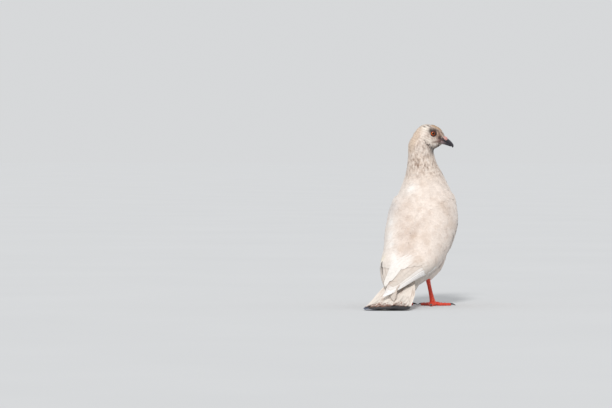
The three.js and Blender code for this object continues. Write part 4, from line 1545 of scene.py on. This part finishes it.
def on_floor(rings, tint):
    rings[..., 2] = np.maximum(rings[..., 2], FLOOR_GAP)
    return rings, tint


def over_toe(hand, angle, reach, rise):
    return at(FOOT[0] + reach * math.cos(angle), hand * (FOOT[1] + reach * math.sin(angle)), rise)


def leg(hand):
    top = at(ANKLE[0], hand * ANKLE[1], ANKLE[2])
    foot = at(FOOT[0], hand * FOOT[1], FOOT[2])
    steps = np.linspace(0, 1, len(SHANK))[:, None]
    shells = [limb(mix(top + (top - foot) * 0.12, foot, steps), SHANK, 90, 36, 17)]
    theta, phi = np.linspace(0.1, np.pi - 0.1, 24)[:, None], full_turn(40)
    ball = joined(np.sin(theta) * np.cos(phi), np.sin(theta) * np.sin(phi), np.cos(theta))
    lumps = 1 + 0.05 * noise3(ball * 4, 1.0, 2)[..., None]
    # painted highlights: the tops of the lumps on the ball of the foot paler
    tint = mix(RED, RED_HIGHLIGHT, 0.5 * smooth(lumps, 1.02, 1.045))
    shells.append(on_floor(np.array([foot[0], foot[1], 2.4]) + PAD * ball * lumps, tint))
    for angle, length, radius, joints in TOES:
        places, radii = [], []
        last = joints * 4 + 4
        for t in (k / last for k in range(last + 1)):
            swell = 1 + 0.07 * math.cos(2 * math.pi * t * (joints + 0.5))
            r = radius * (1 - 0.26 * t) * swell
            rise = r * 0.86 + 1.6 * (1 - float(smooth(t, 0, 0.4)))
            places.append(over_toe(hand, angle, mix(1.5, length + 0.4, t), rise))
            radii.append(r)
        shells.append(on_floor(*limb(places, radii, 24 * joints + 40, 32, 5 * joints + 6, 0.22)))
    return shells


def claws(hand):
    shells = []
    dark = smooth(np.linspace(0, 1, 40), 0.0, 0.35)[:, None, None]
    for angle, length, _, _ in TOES:
        places, radii = [], []
        for t in (k / 8 for k in range(9)):
            rise = mix(1.95, 0.65, t**2) + 0.9 * t * (1 - t)
            places.append(over_toe(hand, angle, length - 0.4 + CLAW * t, rise))
            radii.append(mix(1.3, 0.28, t**1.2))
        rings, _ = limb(places, radii, 40, 24, 1)
        tint = mix(srgb(70, 52, 48), srgb(24, 20, 22), dark)
        shells.append((rings, np.broadcast_to(tint, rings.shape)))
    return shells


for side, hand in SIDES.items():
    names = ["tarsus_" + side] + ["toe_%s_%d" % (side, k) for k in range(1, 5)]
    shell_object("leg_" + side, leg(hand), leather, "leg_skin", names)
    names = ["claw_%s_%d" % (side, k) for k in range(1, 5)]
    shell_object("claws_" + side, claws(hand), claw_horn, "claw_horn", names)


# ---- Camera, floor and light ----

VIEW_TURN, VIEW_RISE = 17 * DEG, 1 * DEG
VIEW_DISTANCE = 4.08  # in metres, with a long lens
AIM = (-0.149, 0.1224)  # the middle of the picture, to the right of the feet and above the floor
KEY_LEFT, KEY_HIGH = 7 * DEG, 35 * DEG  # where the sun is, from the viewer

right = Vector((-math.cos(VIEW_TURN), -math.sin(VIEW_TURN), 0))
level = Vector((math.sin(VIEW_TURN), -math.cos(VIEW_TURN), 0))
above = Vector((0, 0, 1))
direction = level * math.cos(VIEW_RISE) - above * math.sin(VIEW_RISE)
foot = Vector(((at(0, -20, 0) + SHIFT) * MM).tolist())
foot.z = 0
scene = bpy.context.scene


def added(name, data):
    made = bpy.data.objects.new(name, data)
    scene.collection.objects.link(made)
    return made


camera_data = bpy.data.cameras.new("camera")
camera_data.lens = 200
camera_data.sensor_width = 36
camera_data.clip_end = 60
camera = added("camera", camera_data)
camera.location = foot + right * AIM[0] + above * AIM[1] - direction * VIEW_DISTANCE
camera.rotation_euler = direction.to_track_quat("-Z", "Y").to_euler()
scene.camera = camera


def floor_material():
    made, tree, shader = material("floor_pale", Roughness=0.9, Specular_IOR_Level=0.0)
    grain = range_node(tree, noise_node(tree, 3.0, 3.0), 0.3, 0.7)
    colour = mix_node(tree, grain, (0.645, 0.653, 0.662), (0.661, 0.669, 0.678))
    tree.links.new(colour, shader.inputs["Base Color"])
    return made


FAR = 30  # half the floor's width, in metres
corners = [(-FAR, -FAR, 0), (FAR, -FAR, 0), (FAR, FAR, 0), (-FAR, FAR, 0)]
floor_mesh = bpy.data.meshes.new("floor")
floor_mesh.from_pydata(corners, [], [(0, 1, 2, 3)])
floor_mesh.materials.append(floor_material())
floor = added("floor", floor_mesh)

world = bpy.data.worlds.new("studio")
scene.world = world
world.use_nodes = True
sky = next(n for n in world.node_tree.nodes if n.type == "BACKGROUND")
sky.inputs["Color"].default_value = (0.97, 0.985, 1.0, 1)
sky.inputs["Strength"].default_value = 0.7

key_data = bpy.data.lights.new("key", "SUN")
key_data.energy = 2.0
key_data.angle = 10 * DEG
key_data.color = (1.0, 0.985, 0.965)
towards = (right * -math.sin(KEY_LEFT) - level * math.cos(KEY_LEFT)) * math.cos(KEY_HIGH)
towards += above * math.sin(KEY_HIGH)
added("key", key_data).rotation_euler = towards.to_track_quat("Z", "Y").to_euler()
scene.view_settings.view_transform = "Standard"
